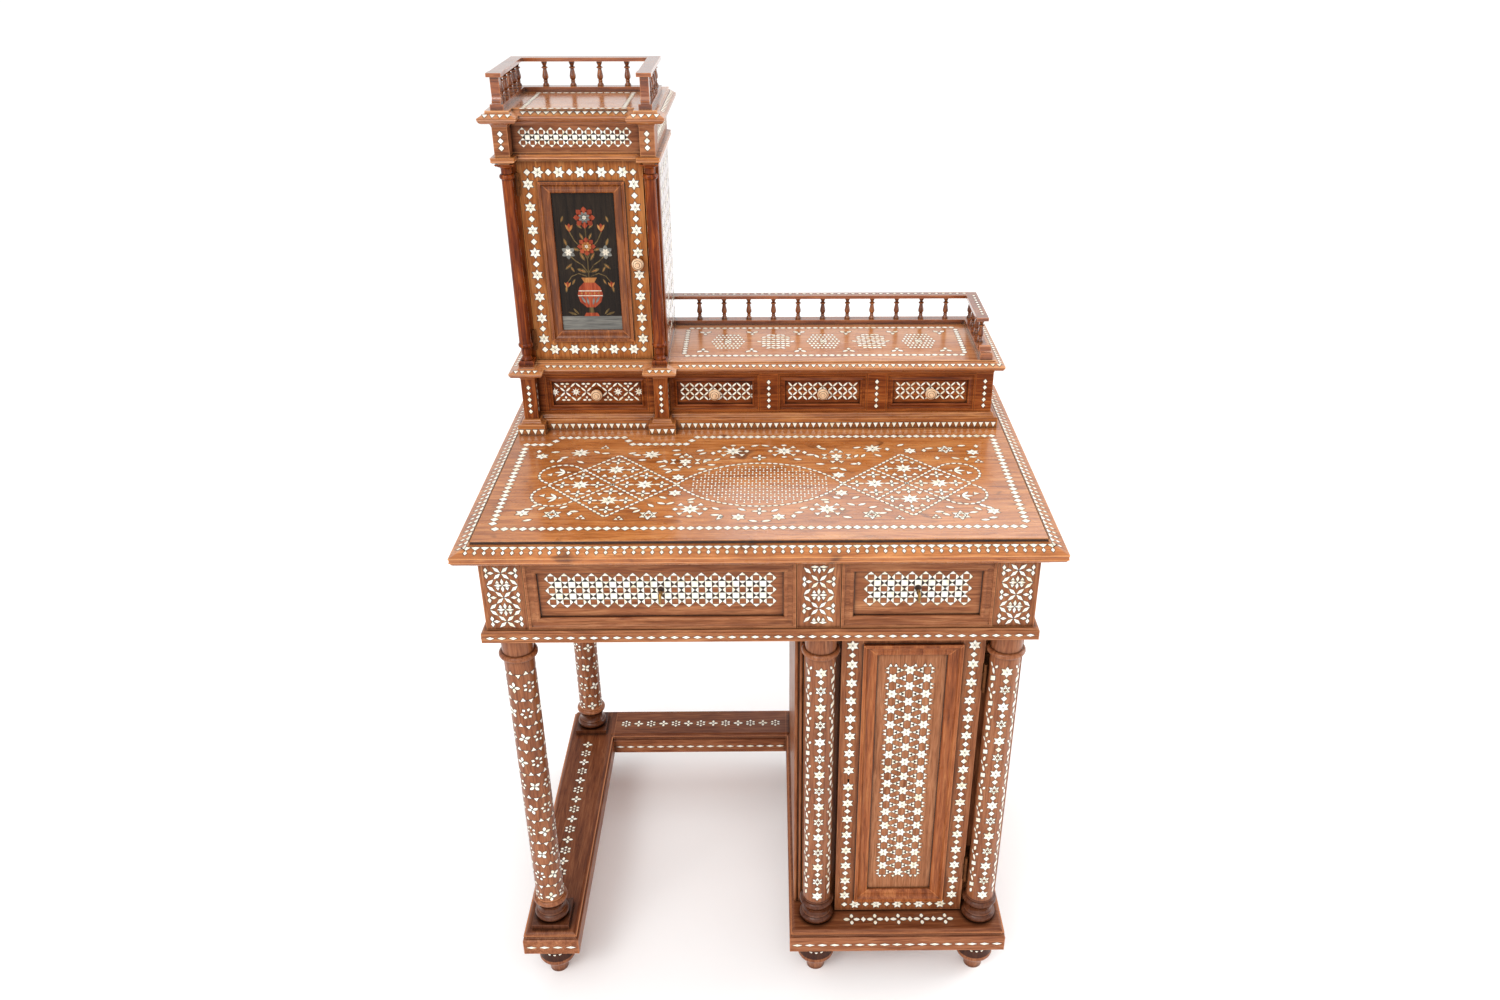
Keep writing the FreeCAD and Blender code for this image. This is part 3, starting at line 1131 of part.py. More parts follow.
def make_shelf_gallery():
    """Gallery along the back and right of the open shelf, ending in a low scroll block."""
    kerb_top = SHELF + KERB_HEIGHT
    rail_bottom = kerb_top + SHELF_BALUSTER_HEIGHT
    rail_front = SHELF_GALLERY_FRONT + SHELF_RAIL_SETBACK
    mid_x = SHELF_GALLERY_X
    mid_y = CASE_REAR - KERB_WIDTH / 2
    save("shelf_gallery_kerb", *shelf_kerbs(), joined([shelf_block(), shelf_scroll()]))
    pitch = (mid_x - TOWER_RIGHT) / SHELF_BALUSTER_COUNT
    back = baluster_row((TOWER_RIGHT + pitch, mid_y), (mid_x, mid_y), SHELF_BALUSTER_COUNT,
                        kerb_top, SHELF_BALUSTER_HEIGHT)
    side_front = rail_front + RAIL_WIDTH / 2
    gap = (mid_y - side_front) / SHELF_SIDE_BALUSTERS
    side = baluster_row((mid_x, side_front), (mid_x, mid_y - gap), SHELF_SIDE_BALUSTERS,
                        kerb_top, SHELF_BALUSTER_HEIGHT)
    save("shelf_gallery_balusters", *(back + side))
    half = RAIL_WIDTH / 2
    top = rail_bottom + RAIL_THICKNESS
    save("shelf_gallery_rail",
         box(TOWER_RIGHT, mid_x - half, mid_y - half, mid_y + half, rail_bottom, top),
         box(mid_x - half, mid_x + half, rail_front, mid_y + half, rail_bottom, top))


def gallery_post(x, y, z):
    """Square post on a block, its foot splayed in a small scroll towards the sitter."""
    half, block = TOWER_POST_SIZE / 2, TOWER_POST_BLOCK / 2
    foot = z + TOWER_POST_BLOCK_HEIGHT
    top = z + KERB_HEIGHT + TOWER_BALUSTER_HEIGHT
    side = [(-block, 0, 0.6), (half, 0), (half, top - foot), (-half, top - foot),
            (-half, TOWER_POST_FOOT_HEIGHT), (1 - block, TOWER_POST_TOE, 0.3),
            (-block, TOWER_POST_SCROLL)]
    post = prism(side, 0, TOWER_POST_SIZE)
    post.rotate(ORIGIN, V(1, 0, 0), 90)
    post.rotate(ORIGIN, UP, 90)
    post.translate(V(x - half, y, foot))
    base = box(x - block, x + block, y - block, y + block, z, foot)
    return post.fuse(base).removeSplitter()


def make_tower_gallery():
    """Three-sided gallery on the tower, open to the front between two posts."""
    left, right = TOWER_AXES
    front = PILASTER_FACE + TOWER_GALLERY_FRONT_INSET
    rear = CASE_REAR - TOWER_GALLERY_REAR_INSET
    kerb_top = TOWER_TOP + KERB_HEIGHT
    rail_bottom = kerb_top + TOWER_BALUSTER_HEIGHT
    half_kerb = KERB_WIDTH / 2
    block = TOWER_POST_BLOCK / 2
    kerb = [box(x - half_kerb, x + half_kerb, front + block, rear + half_kerb,
                TOWER_TOP, kerb_top) for x in (left, right)]
    kerb.append(box(left + half_kerb, right - half_kerb, rear - half_kerb, rear + half_kerb,
                    TOWER_TOP, kerb_top))
    save("tower_gallery_kerb", *kerb)
    save("tower_gallery_posts", *[gallery_post(x, front, TOWER_TOP) for x in (left, right)])
    turnings = baluster_row((left, rear), (right, rear), TOWER_BACK_BALUSTERS + 1,
                            kerb_top, TOWER_BALUSTER_HEIGHT)
    step = (rear - front) / (TOWER_SIDE_BALUSTERS + 1)
    for x in (left, right):
        turnings += baluster_row((x, front + step), (x, rear - step), TOWER_SIDE_BALUSTERS,
                                 kerb_top, TOWER_BALUSTER_HEIGHT)
    save("tower_gallery_balusters", *turnings)
    half = RAIL_WIDTH / 2
    top = rail_bottom + RAIL_THICKNESS
    cap = TOWER_RAIL_CAP / 2
    rails = [box(left + half, right - half, rear - half, rear + half, rail_bottom, top)]
    for x in (left, right):
        side = box(x - half, x + half, front - cap, rear + half, rail_bottom, top)
        head = box(x - cap, x + cap, front - cap, front + cap, rail_bottom, top)
        rails.append(side.fuse(head).removeSplitter())
    save("tower_gallery_rail", *rails)


# --------------------------------------------------------------------------- build
def main():
    """Make every node."""
    os.makedirs("parts", exist_ok=True)
    make_feet()
    make_base()
    make_columns()
    make_pedestal()
    make_pedestal_door()
    make_hinges()
    make_waist()
    make_frieze()
    make_top()
    make_frieze_drawer("left_drawer", LEFT_BAY)
    make_frieze_drawer("right_drawer", RIGHT_BAY)
    make_case()
    for number, bay in enumerate(small_bays(), 1):
        make_small_drawer(number, bay)
    make_tower_body()
    make_tower_columns()
    make_entablature()
    make_tower_door()
    make_shelf_gallery()
    make_tower_gallery()


main()
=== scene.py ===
"""Finish of a lady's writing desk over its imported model: woods, brass and flush bone inlay."""
import json
from math import asin, atan2, ceil, cos, degrees, dist, hypot, pi, radians, sin, sqrt

import bpy
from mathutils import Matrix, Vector
from mathutils.bvhtree import BVHTree


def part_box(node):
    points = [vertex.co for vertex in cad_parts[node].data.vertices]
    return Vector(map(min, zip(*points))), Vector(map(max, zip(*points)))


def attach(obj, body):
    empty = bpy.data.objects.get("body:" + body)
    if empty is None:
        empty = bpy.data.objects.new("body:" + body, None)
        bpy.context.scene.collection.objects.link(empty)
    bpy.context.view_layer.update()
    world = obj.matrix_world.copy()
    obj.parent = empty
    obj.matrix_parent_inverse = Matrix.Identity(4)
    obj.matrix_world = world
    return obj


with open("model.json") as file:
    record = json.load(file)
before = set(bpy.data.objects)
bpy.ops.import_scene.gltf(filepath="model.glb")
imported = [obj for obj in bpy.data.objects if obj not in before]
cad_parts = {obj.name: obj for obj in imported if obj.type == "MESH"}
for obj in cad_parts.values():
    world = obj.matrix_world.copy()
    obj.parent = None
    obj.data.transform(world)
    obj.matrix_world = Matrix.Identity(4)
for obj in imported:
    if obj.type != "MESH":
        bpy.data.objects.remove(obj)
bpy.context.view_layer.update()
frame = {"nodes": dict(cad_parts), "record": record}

MM = 0.001
X, Y, Z = Vector((1, 0, 0)), Vector((0, 1, 0)), Vector((0, 0, 1))
SIDES = (-1, 1)
FAR = 2000.0

# ---------------------------------------------------------------- places in the frame, mm

TREES = {}


def box(node):
    """Lowest and highest corner of a CAD node, in mm."""
    low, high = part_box(node)
    return Vector(low) / MM, Vector(high) / MM


def middle(node):
    low, high = box(node)
    return (low + high) / 2


def hit(node, start, towards):
    """Where a ray first meets a CAD node, in mm, and the normal of the face there."""
    if node not in TREES:
        mesh = frame["nodes"][node].data
        TREES[node] = BVHTree.FromPolygons([v.co for v in mesh.vertices],
                                           [tuple(p.vertices) for p in mesh.polygons])
    place, normal = TREES[node].ray_cast(Vector(start) * MM, Vector(towards))[:2]
    if place is None:
        raise ValueError(f"no face of {node} from {start} towards {towards}")
    return place / MM, normal


# ---------------------------------------------------------------- surfaces and inlay

SUNK = 0.06
BONE_PROUD = 0.16
LINE_PROUD = 0.07
HOLE_PROUD = 0.22
LINE = 0.8
FINE_LINE = 0.5
SAW_GAP = 0.94
INLAYS = []


class Surface:
    """A face of a CAD node with one inlay's pieces let into it, at (u, v) along and up it."""

    def prism(self, material, outline, proud):
        """A closed piece from just under the surface to a height over it."""
        points, top = self.strips(outline)
        verts, faces = self.inlay.parts.setdefault(material, ([], []))
        base, count = len(verts), len(points)
        for w in (-SUNK, proud):
            verts.extend(self.at(u, v, w) * MM for u, v in points)
        faces.extend([base + count + i for i in face] for face in top)
        faces.extend([base + i for i in reversed(face)] for face in top)
        for i in range(count):
            j = (i + 1) % count
            faces.append([base + i, base + j, base + count + j, base + count + i])

    def lay(self, motif, u=0.0, v=0.0, turn=0.0, line=LINE):
        """Lays a motif, a list of convex outlines turning to the left, in bone with a dark line round it."""
        for outline in moved(motif, u, v, turn):
            self.prism("inlay", outline, BONE_PROUD)
            if line:
                self.prism("inlay_line", grown(outline, line), LINE_PROUD)

    def scatter(self, motif, *places):
        """Lays a motif at each (u, v) or (u, v, turn)."""
        for place in places:
            self.lay(motif, *place)

    def dark(self, motif, u=0.0, v=0.0, turn=0.0):
        """Lays a motif in dark wood; the same dark pieces also serve as painted shade in quirks and on a
        riser.
        """
        for outline in moved(motif, u, v, turn):
            self.prism("inlay_line", outline, LINE_PROUD)

    # a dark rectangle, used only as painted shade: in moulding quirks and on the top's riser
    def strip(self, left, right, bottom, top):
        self.dark(rectangle(right - left, top - bottom), (left + right) / 2, (bottom + top) / 2)

    def along(self, path, motif, pitch, turn=0.0):
        """A row of the motif along a path, starting half a pitch from its end."""
        length, at = path
        count = max(1, round(length / pitch))
        for i in range(count):
            u, v, way = at(length * (i + 0.5) / count)
            self.lay(motif, u, v, way + turn)

    def row(self, motif, start, end, v, pitch, turn=0.0):
        self.along(line_path((start, v), (end, v)), motif, pitch, turn)

    def column(self, motif, start, end, u, pitch, turn=0.0):
        self.along(line_path((u, start), (u, end)), motif, pitch, turn)


class Flat(Surface):
    """A flat face. u and v are the row frame's own measures along and up it."""

    def __init__(self, inlay, node, start, towards, across=X):
        place, self.normal = hit(node, start, towards)
        self.inlay = inlay
        self.across = (across - self.normal * across.dot(self.normal)).normalized()
        self.up = self.normal.cross(self.across)
        self.depth = place.dot(self.normal)
        self.u, self.v = place.dot(self.across), place.dot(self.up)

    def at(self, u, v, w):
        return self.across * u + self.up * v + self.normal * (self.depth + w)

    def strips(self, outline):
        return outline, [list(range(len(outline)))]


class Round(Surface):
    """A turned shaft, or a cone measured over a rise. u is the arc from its front line, v the height."""

    STRIP = 2.4
    NEAR = 200.0

    def __init__(self, inlay, node, x, y, z, rise=0.0):
        place, _ = hit(node, (x, y - self.NEAR, z), Y)
        self.inlay, self.x, self.y, self.z, self.radius, self.lean = inlay, x, y, z, y - place.y, 0.0
        if rise:
            self.lean = (place.y - hit(node, (x, y - self.NEAR, z + rise), Y)[0].y) / rise

    def at(self, u, v, w):
        angle, out = u / self.radius, self.radius + self.lean * (v - self.z) + w
        return Vector((self.x + out * sin(angle), self.y - out * cos(angle), v))

    def strips(self, outline):
        """The outline with points added, and its cut into upright strips that bend round the shaft."""
        low, high = min(p[0] for p in outline), max(p[0] for p in outline)
        count = max(1, ceil((high - low) / self.STRIP))
        cuts = [low + (high - low) * i / count for i in range(count + 1)]
        points = []
        for a, b in zip(outline, outline[1:] + outline[:1]):
            points.append(a)
            inside = [c for c in cuts if min(a[0], b[0]) + 1e-6 < c < max(a[0], b[0]) - 1e-6]
            for c in sorted(inside, reverse=a[0] > b[0]):
                points.append((c, a[1] + (b[1] - a[1]) * (c - a[0]) / (b[0] - a[0])))
        faces = [[i for i, p in enumerate(points) if left - 1e-6 <= p[0] <= right + 1e-6]
                 for left, right in zip(cuts, cuts[1:])]
        return points, [face for face in faces if len(face) > 2]


class Inlay:
    """The pieces let into one body, such as bone and the dark lines round it, as closed prisms."""

    SHAFT_HEIGHT = 400.0

    def __init__(self, name, body="desk"):
        self.name, self.body, self.parts = name, body, {}
        INLAYS.append(self)

    def front(self, node, x, z):
        return Flat(self, node, (x, -FAR, z), Y)

    def side(self, node, way, y, z, x=FAR):
        """A face seen from the right where way is 1, or from the left where it is -1."""
        return Flat(self, node, (x * way, y, z), X * -way, Y * way)

    def top(self, node, x, y, across=X):
        return Flat(self, node, (x, y, FAR), -Z, across)

    def shaft(self, node):
        return Round(self, node, *middle(node).xy, self.SHAFT_HEIGHT)

    def finish(self):
        for material, (verts, faces) in self.parts.items():
            mesh = bpy.data.meshes.new(f"{self.name}_{material}")
            mesh.from_pydata(verts, [], faces)
            mesh.materials.append(MATERIALS[material])
            piece = added(mesh.name, mesh)
            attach(piece, self.body)


def added(name, data):
    """A new object in the scene."""
    result = bpy.data.objects.new(name, data)
    bpy.context.collection.objects.link(result)
    return result


# ---------------------------------------------------------------- motifs: lists of outlines about (0, 0)


def grown(outline, margin):
    """A convex outline with its edges moved out by margin."""
    result = []
    for before, here, after in zip(outline[-1:] + outline[:-1], outline, outline[1:] + outline[:1]):
        a = Vector((here[1] - before[1], before[0] - here[0])).normalized()
        b = Vector((after[1] - here[1], here[0] - after[0])).normalized()
        way = (a + b) / max(1 + a.dot(b), 0.45)
        result.append((here[0] + way.x * margin, here[1] + way.y * margin))
    return result


def moved(motif, x=0.0, y=0.0, turn=0.0):
    c, s = cos(radians(turn)), sin(radians(turn))
    return [[(x + px * c - py * s, y + px * s + py * c) for px, py in outline] for outline in motif]


def mirrored(motif, axes="xy"):
    """A motif with its images at the other side (x), below (y) or both."""
    for axis in axes:
        way_x, way_y = (-1, 1) if axis == "x" else (1, -1)
        motif = motif + [[(x * way_x, y * way_y) for x, y in reversed(outline)] for outline in motif]
    return motif


def diamond(width, height):
    return [[(width / 2, 0), (0, height / 2), (-width / 2, 0), (0, -height / 2)]]


def rectangle(width, height):
    return [[(-width / 2, -height / 2), (width / 2, -height / 2),
             (width / 2, height / 2), (-width / 2, height / 2)]]


def triangle(width, height):
    """Pointing up, its middle half way up."""
    return [[(-width / 2, -height / 2), (width / 2, -height / 2), (0, height / 2)]]


def lens(length, width):
    """Lying along x."""
    low = [(length * s, -width / 2 * (1 - 4 * s * s)) for s in (-0.5, -0.3, 0.0, 0.3)]
    return [low + [(-x, -y) for x, y in low]]


def spokes(motif, count, reach, start=90.0):
    """Copies of a motif that lies along x, at a distance from the middle and pointing outwards."""
    return [outline for i in range(count)
            for outline in moved(moved(motif, reach), turn=start + 360 / count * i)]


def star(points, radius, waist=0.577):
    """Kites that meet at the middle, with saw gaps between them."""
    half, side = pi / points, radius * waist
    kite = [(0.03 * radius, 0), (side * cos(half), -side * sin(half)),
            (radius, 0), (side * cos(half), side * sin(half))]
    centre = sum(p[0] for p in kite) / 4
    return spokes([[(centre + (x - centre) * SAW_GAP, y * SAW_GAP) for x, y in kite]], points, 0)


def flower(petals, radius, width, start=90.0):
    return spokes(lens(radius * 0.88, width), petals, radius * 0.56, start)


def hollow_star(radius):
    """Six triangles round an open middle, with six small petals inside."""
    tip = moved(triangle(radius * 0.52, radius * 0.46), turn=-90)
    petal = moved(lens(radius * 0.4, radius * 0.2), turn=90)
    return spokes(tip, 6, radius * 0.75) + spokes(petal, 6, radius * 0.36, 60)


def ring_square(size):
    """Four triangles round an open square, tips outward; size is from tip to tip."""
    return spokes(moved(triangle(size * 0.5, size * 0.235), turn=-90), 4, size * 0.375)


def corner_triangle():
    """Three small triangles at the corners of a larger one that points along x from its base."""
    tip = moved(triangle(4.5, 4.2), turn=-90)
    return mirrored(moved(tip, 2.1, 2.5), "y") + moved(tip, 7.0)


def trio(size):
    """Three small triangles in a heap."""
    unit = triangle(size, size * 0.95)
    return moved(unit, 0, size * 0.62) + mirrored(moved(unit, size * 0.7, -size * 0.5), "x")


def bow_tie(width, height):
    return mirrored(moved(triangle(width, height * 0.44), 0, -height * 0.26), "y")


def trefoil(size):
    """A generic sprig: three leaves and a bud, pointing along x."""
    leaf = lens(size, size * 0.3)
    return moved(leaf, size * 0.5) + mirrored(moved(leaf, size * 0.34, size * 0.42, 52), "y") \
        + moved(triangle(size * 0.36, size * 0.36), -size * 0.34, 0, 90)


# ---------------------------------------------------------------- paths


def line_path(start, end):
    length = dist(start, end)
    turn = degrees(atan2(end[1] - start[1], end[0] - start[0]))
    return length, lambda s: (start[0] + (end[0] - start[0]) * s / length,
                              start[1] + (end[1] - start[1]) * s / length, turn)


def arc_path(centre, radius, start, end):
    """Angles in degrees; end may be less than start."""
    way = 1 if end > start else -1

    def at(s):
        angle = radians(start) + way * s / radius
        return (centre[0] + radius * cos(angle), centre[1] + radius * sin(angle), degrees(angle) + 90 * way)
    return radius * radians(abs(end - start)), at


# ---------------------------------------------------------------- materials

MATERIALS = {}
GRAIN = {"x": (1.0, 9.0, 9.0), "y": (9.0, 1.0, 9.0), "z": (9.0, 9.0, 1.0), "level": (1.0, 1.0, 9.0)}


class Nodes:
    """A material's node tree, written as nested calls."""

    def __init__(self, name):
        self.name, self.material = name, bpy.data.materials.new(name)
        self.material.use_nodes = True
        self.tree = self.material.node_tree
        self.place = self.add("ShaderNodeTexCoord").outputs["Object"]

    def put(self, socket, value):
        if isinstance(value, bpy.types.NodeSocket):
            self.tree.links.new(value, socket)
        else:
            socket.default_value = value

    def fill(self, node, inputs):
        for name, value in inputs.items():
            self.put(node.inputs[name.replace("_", " ")], value)
        return node

    def add(self, kind, **inputs):
        return self.fill(self.tree.nodes.new(kind), inputs)

    def shade(self, **inputs):
        """Sets the shader and keeps the material under its name."""
        self.fill(self.tree.nodes["Principled BSDF"], inputs)
        MATERIALS[self.name] = self.material

    def stretched(self, scale, offset=(0.0, 0.0, 0.0)):
        return self.add("ShaderNodeMapping", Vector=self.place, Scale=scale,
                        Location=offset).outputs["Vector"]

    def noise(self, vector, scale, detail=3.0, roughness=0.55, distortion=0.0):
        return self.add("ShaderNodeTexNoise", Vector=vector, Scale=scale, Detail=detail,
                        Roughness=roughness, Distortion=distortion).outputs["Fac"]

    def ramp(self, value, *stops):
        """Colours, or greys given as numbers, by position."""
        node = self.add("ShaderNodeValToRGB", Fac=value)
        ramp = node.color_ramp
        while len(ramp.elements) < len(stops):
            ramp.elements.new(1.0)
        for element, (position, colour) in zip(ramp.elements, stops):
            element.position = position
            if isinstance(colour, (int, float)):
                colour = (colour,) * 3
            element.color = (*colour, 1.0)
        return node.outputs["Color"]

    def mask(self, value, low, high):
        """0 up to one value, rising to 1 at another."""
        return self.ramp(value, (low, 0.0), (high, 1.0))

    def mix(self, factor, a, b, blend="MIX"):
        node = self.add("ShaderNodeMix")
        node.data_type, node.blend_type = "RGBA", blend
        self.put(node.inputs[0], factor)
        for socket, value in ((node.inputs[6], a), (node.inputs[7], b)):
            self.put(socket, (*value[:3], 1.0) if isinstance(value, (tuple, list)) else value)
        return node.outputs[2]

    def math(self, kind, a, b=0.0, c=0.0):
        node = self.add("ShaderNodeMath")
        node.operation = kind
        for socket, value in zip(node.inputs, (a, b, c)):
            self.put(socket, value)
        return node.outputs[0]

    def linear(self, value, factor, plus):
        return self.math("MULTIPLY_ADD", value, factor, plus)

    def crevices(self, distance, inside=False):
        """1 in the open, falling to 0 in corners and quirks, or at outer edges where inside is set."""
        node = self.add("ShaderNodeAmbientOcclusion", Distance=distance)
        node.samples, node.inside = 6, inside
        return node.outputs["AO"]

    def bump(self, height, strength, distance=0.0002):
        return self.add("ShaderNodeBump", Height=height, Strength=strength,
                        Distance=distance).outputs["Normal"]


def srgb(red, green, blue):
    """Linear colour from a display colour out of 255."""
    return tuple(c / 255 / 12.92 if c <= 10 else ((c / 255 + 0.055) / 1.055) ** 2.4
                 for c in (red, green, blue))


def wood(name, tones, grain="x", seed=0.0, coat=0.08, rough=0.34, shine=0.12, corner_shade=0.9, figure=1.0,
         smoke=0.0, edge_highlight_and_patina=0.55, ends=None):
    """Polished wood: dark, middle and light tones in long streaks, with pores, painted corner shade and
    painted edge light.

    Smoke darkens it in clouds and knots, more towards the left. Ends gives two heights in mm, below
    and above which it is darkened, and the tone that it is multiplied by there.
    """
    dark, mid, light = (srgb(*tone) for tone in tones)
    n = Nodes(name)
    offset = (seed, seed * 1.7, seed * 2.3)

    def streaked(power):
        return n.stretched([s ** power for s in GRAIN[grain]], offset)

    streaks = n.noise(streaked(1.15), 16.0, 6.0, 0.66, 0.8 * figure)
    wide = n.noise(streaked(0.6), 4.5, 3.0, 0.5, figure)
    blend = n.math("ADD", n.math("MULTIPLY", streaks, 0.72), n.math("MULTIPLY", wide, 0.28))
    colour = n.ramp(blend, (0.33, dark), (0.5, mid), (0.67, light))
    pores = n.noise(streaked(1.6), 30.0, 2.0, 0.7)
    colour = n.mix(n.linear(n.mask(pores, 0.34, 0.46), -0.5, 0.5), colour, [c * 0.35 for c in dark])
    if smoke:
        apart = n.add("ShaderNodeSeparateXYZ", Vector=n.place).outputs[0]
        clouds = n.mask(n.noise(n.stretched((1.0, 1.7, 1.0), offset), 6.0, 5.0, 0.62, 1.2), 0.45, 0.66)
        clouds = n.math("MULTIPLY", clouds, n.linear(apart, -1.0, 0.6))
        colour = n.mix(n.math("MULTIPLY", clouds, smoke), colour, dark)
        knots = n.mask(n.noise(n.stretched((1.0, 1.5, 1.0), offset), 21.0, 2.0, 0.4, 0.6), 0.66, 0.74)
        colour = n.mix(n.math("MULTIPLY", knots, 0.75), colour, [c * 0.4 for c in dark])
    # painted shade: darker towards near black in quirks and corners, from ambient occlusion at two reaches
    quirks = n.mask(n.crevices(0.0025), 0.4, 0.85)
    colour = n.mix(n.linear(quirks, -0.75 * corner_shade, 0.75 * corner_shade), colour, [c * 0.08 for c in dark])
    open_air = n.mask(n.crevices(0.008), 0.45, 0.92)
    colour = n.mix(n.linear(open_air, -corner_shade, corner_shade), colour, [c * 0.12 for c in dark])
    # painted highlight: lighter along outer edges and arrises, from ambient occlusion looking inwards
    if edge_highlight_and_patina:
        edges = n.ramp(n.crevices(0.0016, True), (0.5, 1.0), (0.85, 0.0))
        colour = n.mix(n.math("MULTIPLY", edges, edge_highlight_and_patina), colour, [min(1.0, c * 1.5) for c in light])
    if ends:
        low, high, tone = ends
        height = n.add("ShaderNodeSeparateXYZ", Vector=n.place).outputs["Z"]
        away = n.math("ABSOLUTE", n.math("SUBTRACT", height, (low + high) / 2 * MM))
        beyond = n.math("GREATER_THAN", away, (high - low) / 2 * MM)
        colour = n.mix(beyond, colour, tone, "MULTIPLY")
    wear = n.noise(n.place, 30.0, 3.0, 0.6)
    n.shade(Base_Color=colour, Roughness=n.linear(wear, 0.22, rough - 0.08), Specular_IOR_Level=shine,
            Coat_Weight=coat, Coat_Roughness=0.14, Normal=n.bump(pores, 0.25, 0.0003))


def bone_inlay():
    n = Nodes("inlay")
    mottle = n.noise(n.place, 90.0, 3.0, 0.6)
    colour = n.ramp(mottle, (0.3, srgb(232, 219, 188)), (0.5, srgb(250, 245, 228)),
                    (0.7, srgb(255, 252, 244)))
    n.shade(Base_Color=colour, Roughness=n.linear(mottle, 0.2, 0.28), Normal=n.bump(mottle, 0.1))


def inlay_line():
    n = Nodes("inlay_line")
    mottle = n.noise(n.place, 140.0, 2.0, 0.5)
    n.shade(Base_Color=n.ramp(mottle, (0.35, srgb(26, 13, 6)), (0.65, srgb(58, 30, 14))),
            Roughness=n.linear(mottle, 0.2, 0.35))


def turned_bone():
    n = Nodes("bone")
    mottle = n.noise(n.stretched((1.0, 0.4, 1.0)), 160.0, 4.0, 0.6)
    colour = n.ramp(mottle, (0.3, srgb(206, 160, 118)), (0.7, srgb(240, 208, 172)))
    air = n.mask(n.crevices(0.002), 0.3, 0.9)
    n.shade(Base_Color=n.mix(air, srgb(130, 78, 46), colour), Roughness=n.linear(mottle, 0.2, 0.25),
            Normal=n.bump(mottle, 0.15))


def metal(name, edge_highlight_and_patina, open_tone, rough):
    n = Nodes(name)
    stain = n.noise(n.place, 120.0, 4.0, 0.65)
    air = n.mask(n.crevices(0.003), 0.3, 0.9)
    colour = n.ramp(n.math("MULTIPLY", stain, air), (0.2, srgb(*edge_highlight_and_patina)), (0.55, srgb(*open_tone)))
    n.shade(Base_Color=colour, Metallic=0.9, Roughness=n.linear(stain, 0.3, rough),
            Normal=n.bump(stain, 0.2))


BROWN = (66, 24, 6), (123, 58, 22), (172, 98, 46)
FASCIA = (104, 54, 28), (146, 88, 54), (182, 124, 82)
SHELF = (150, 82, 38), (194, 124, 72), (222, 160, 106)
BASE = (104, 52, 28), (141, 84, 51), (169, 111, 74)
PLINTH = (100, 50, 27), (144, 86, 54), (178, 118, 80)
GOLD = (112, 56, 20), (160, 94, 44), (196, 132, 74)
# painted shade: the tone that darkens shelf and cornice mouldings under their nosings
UNDER_NOSING_SHADE = (0.62, 0.5, 0.42)
PLINTH_TOP = (-9, 104, (0.62, 0.56, 0.52))


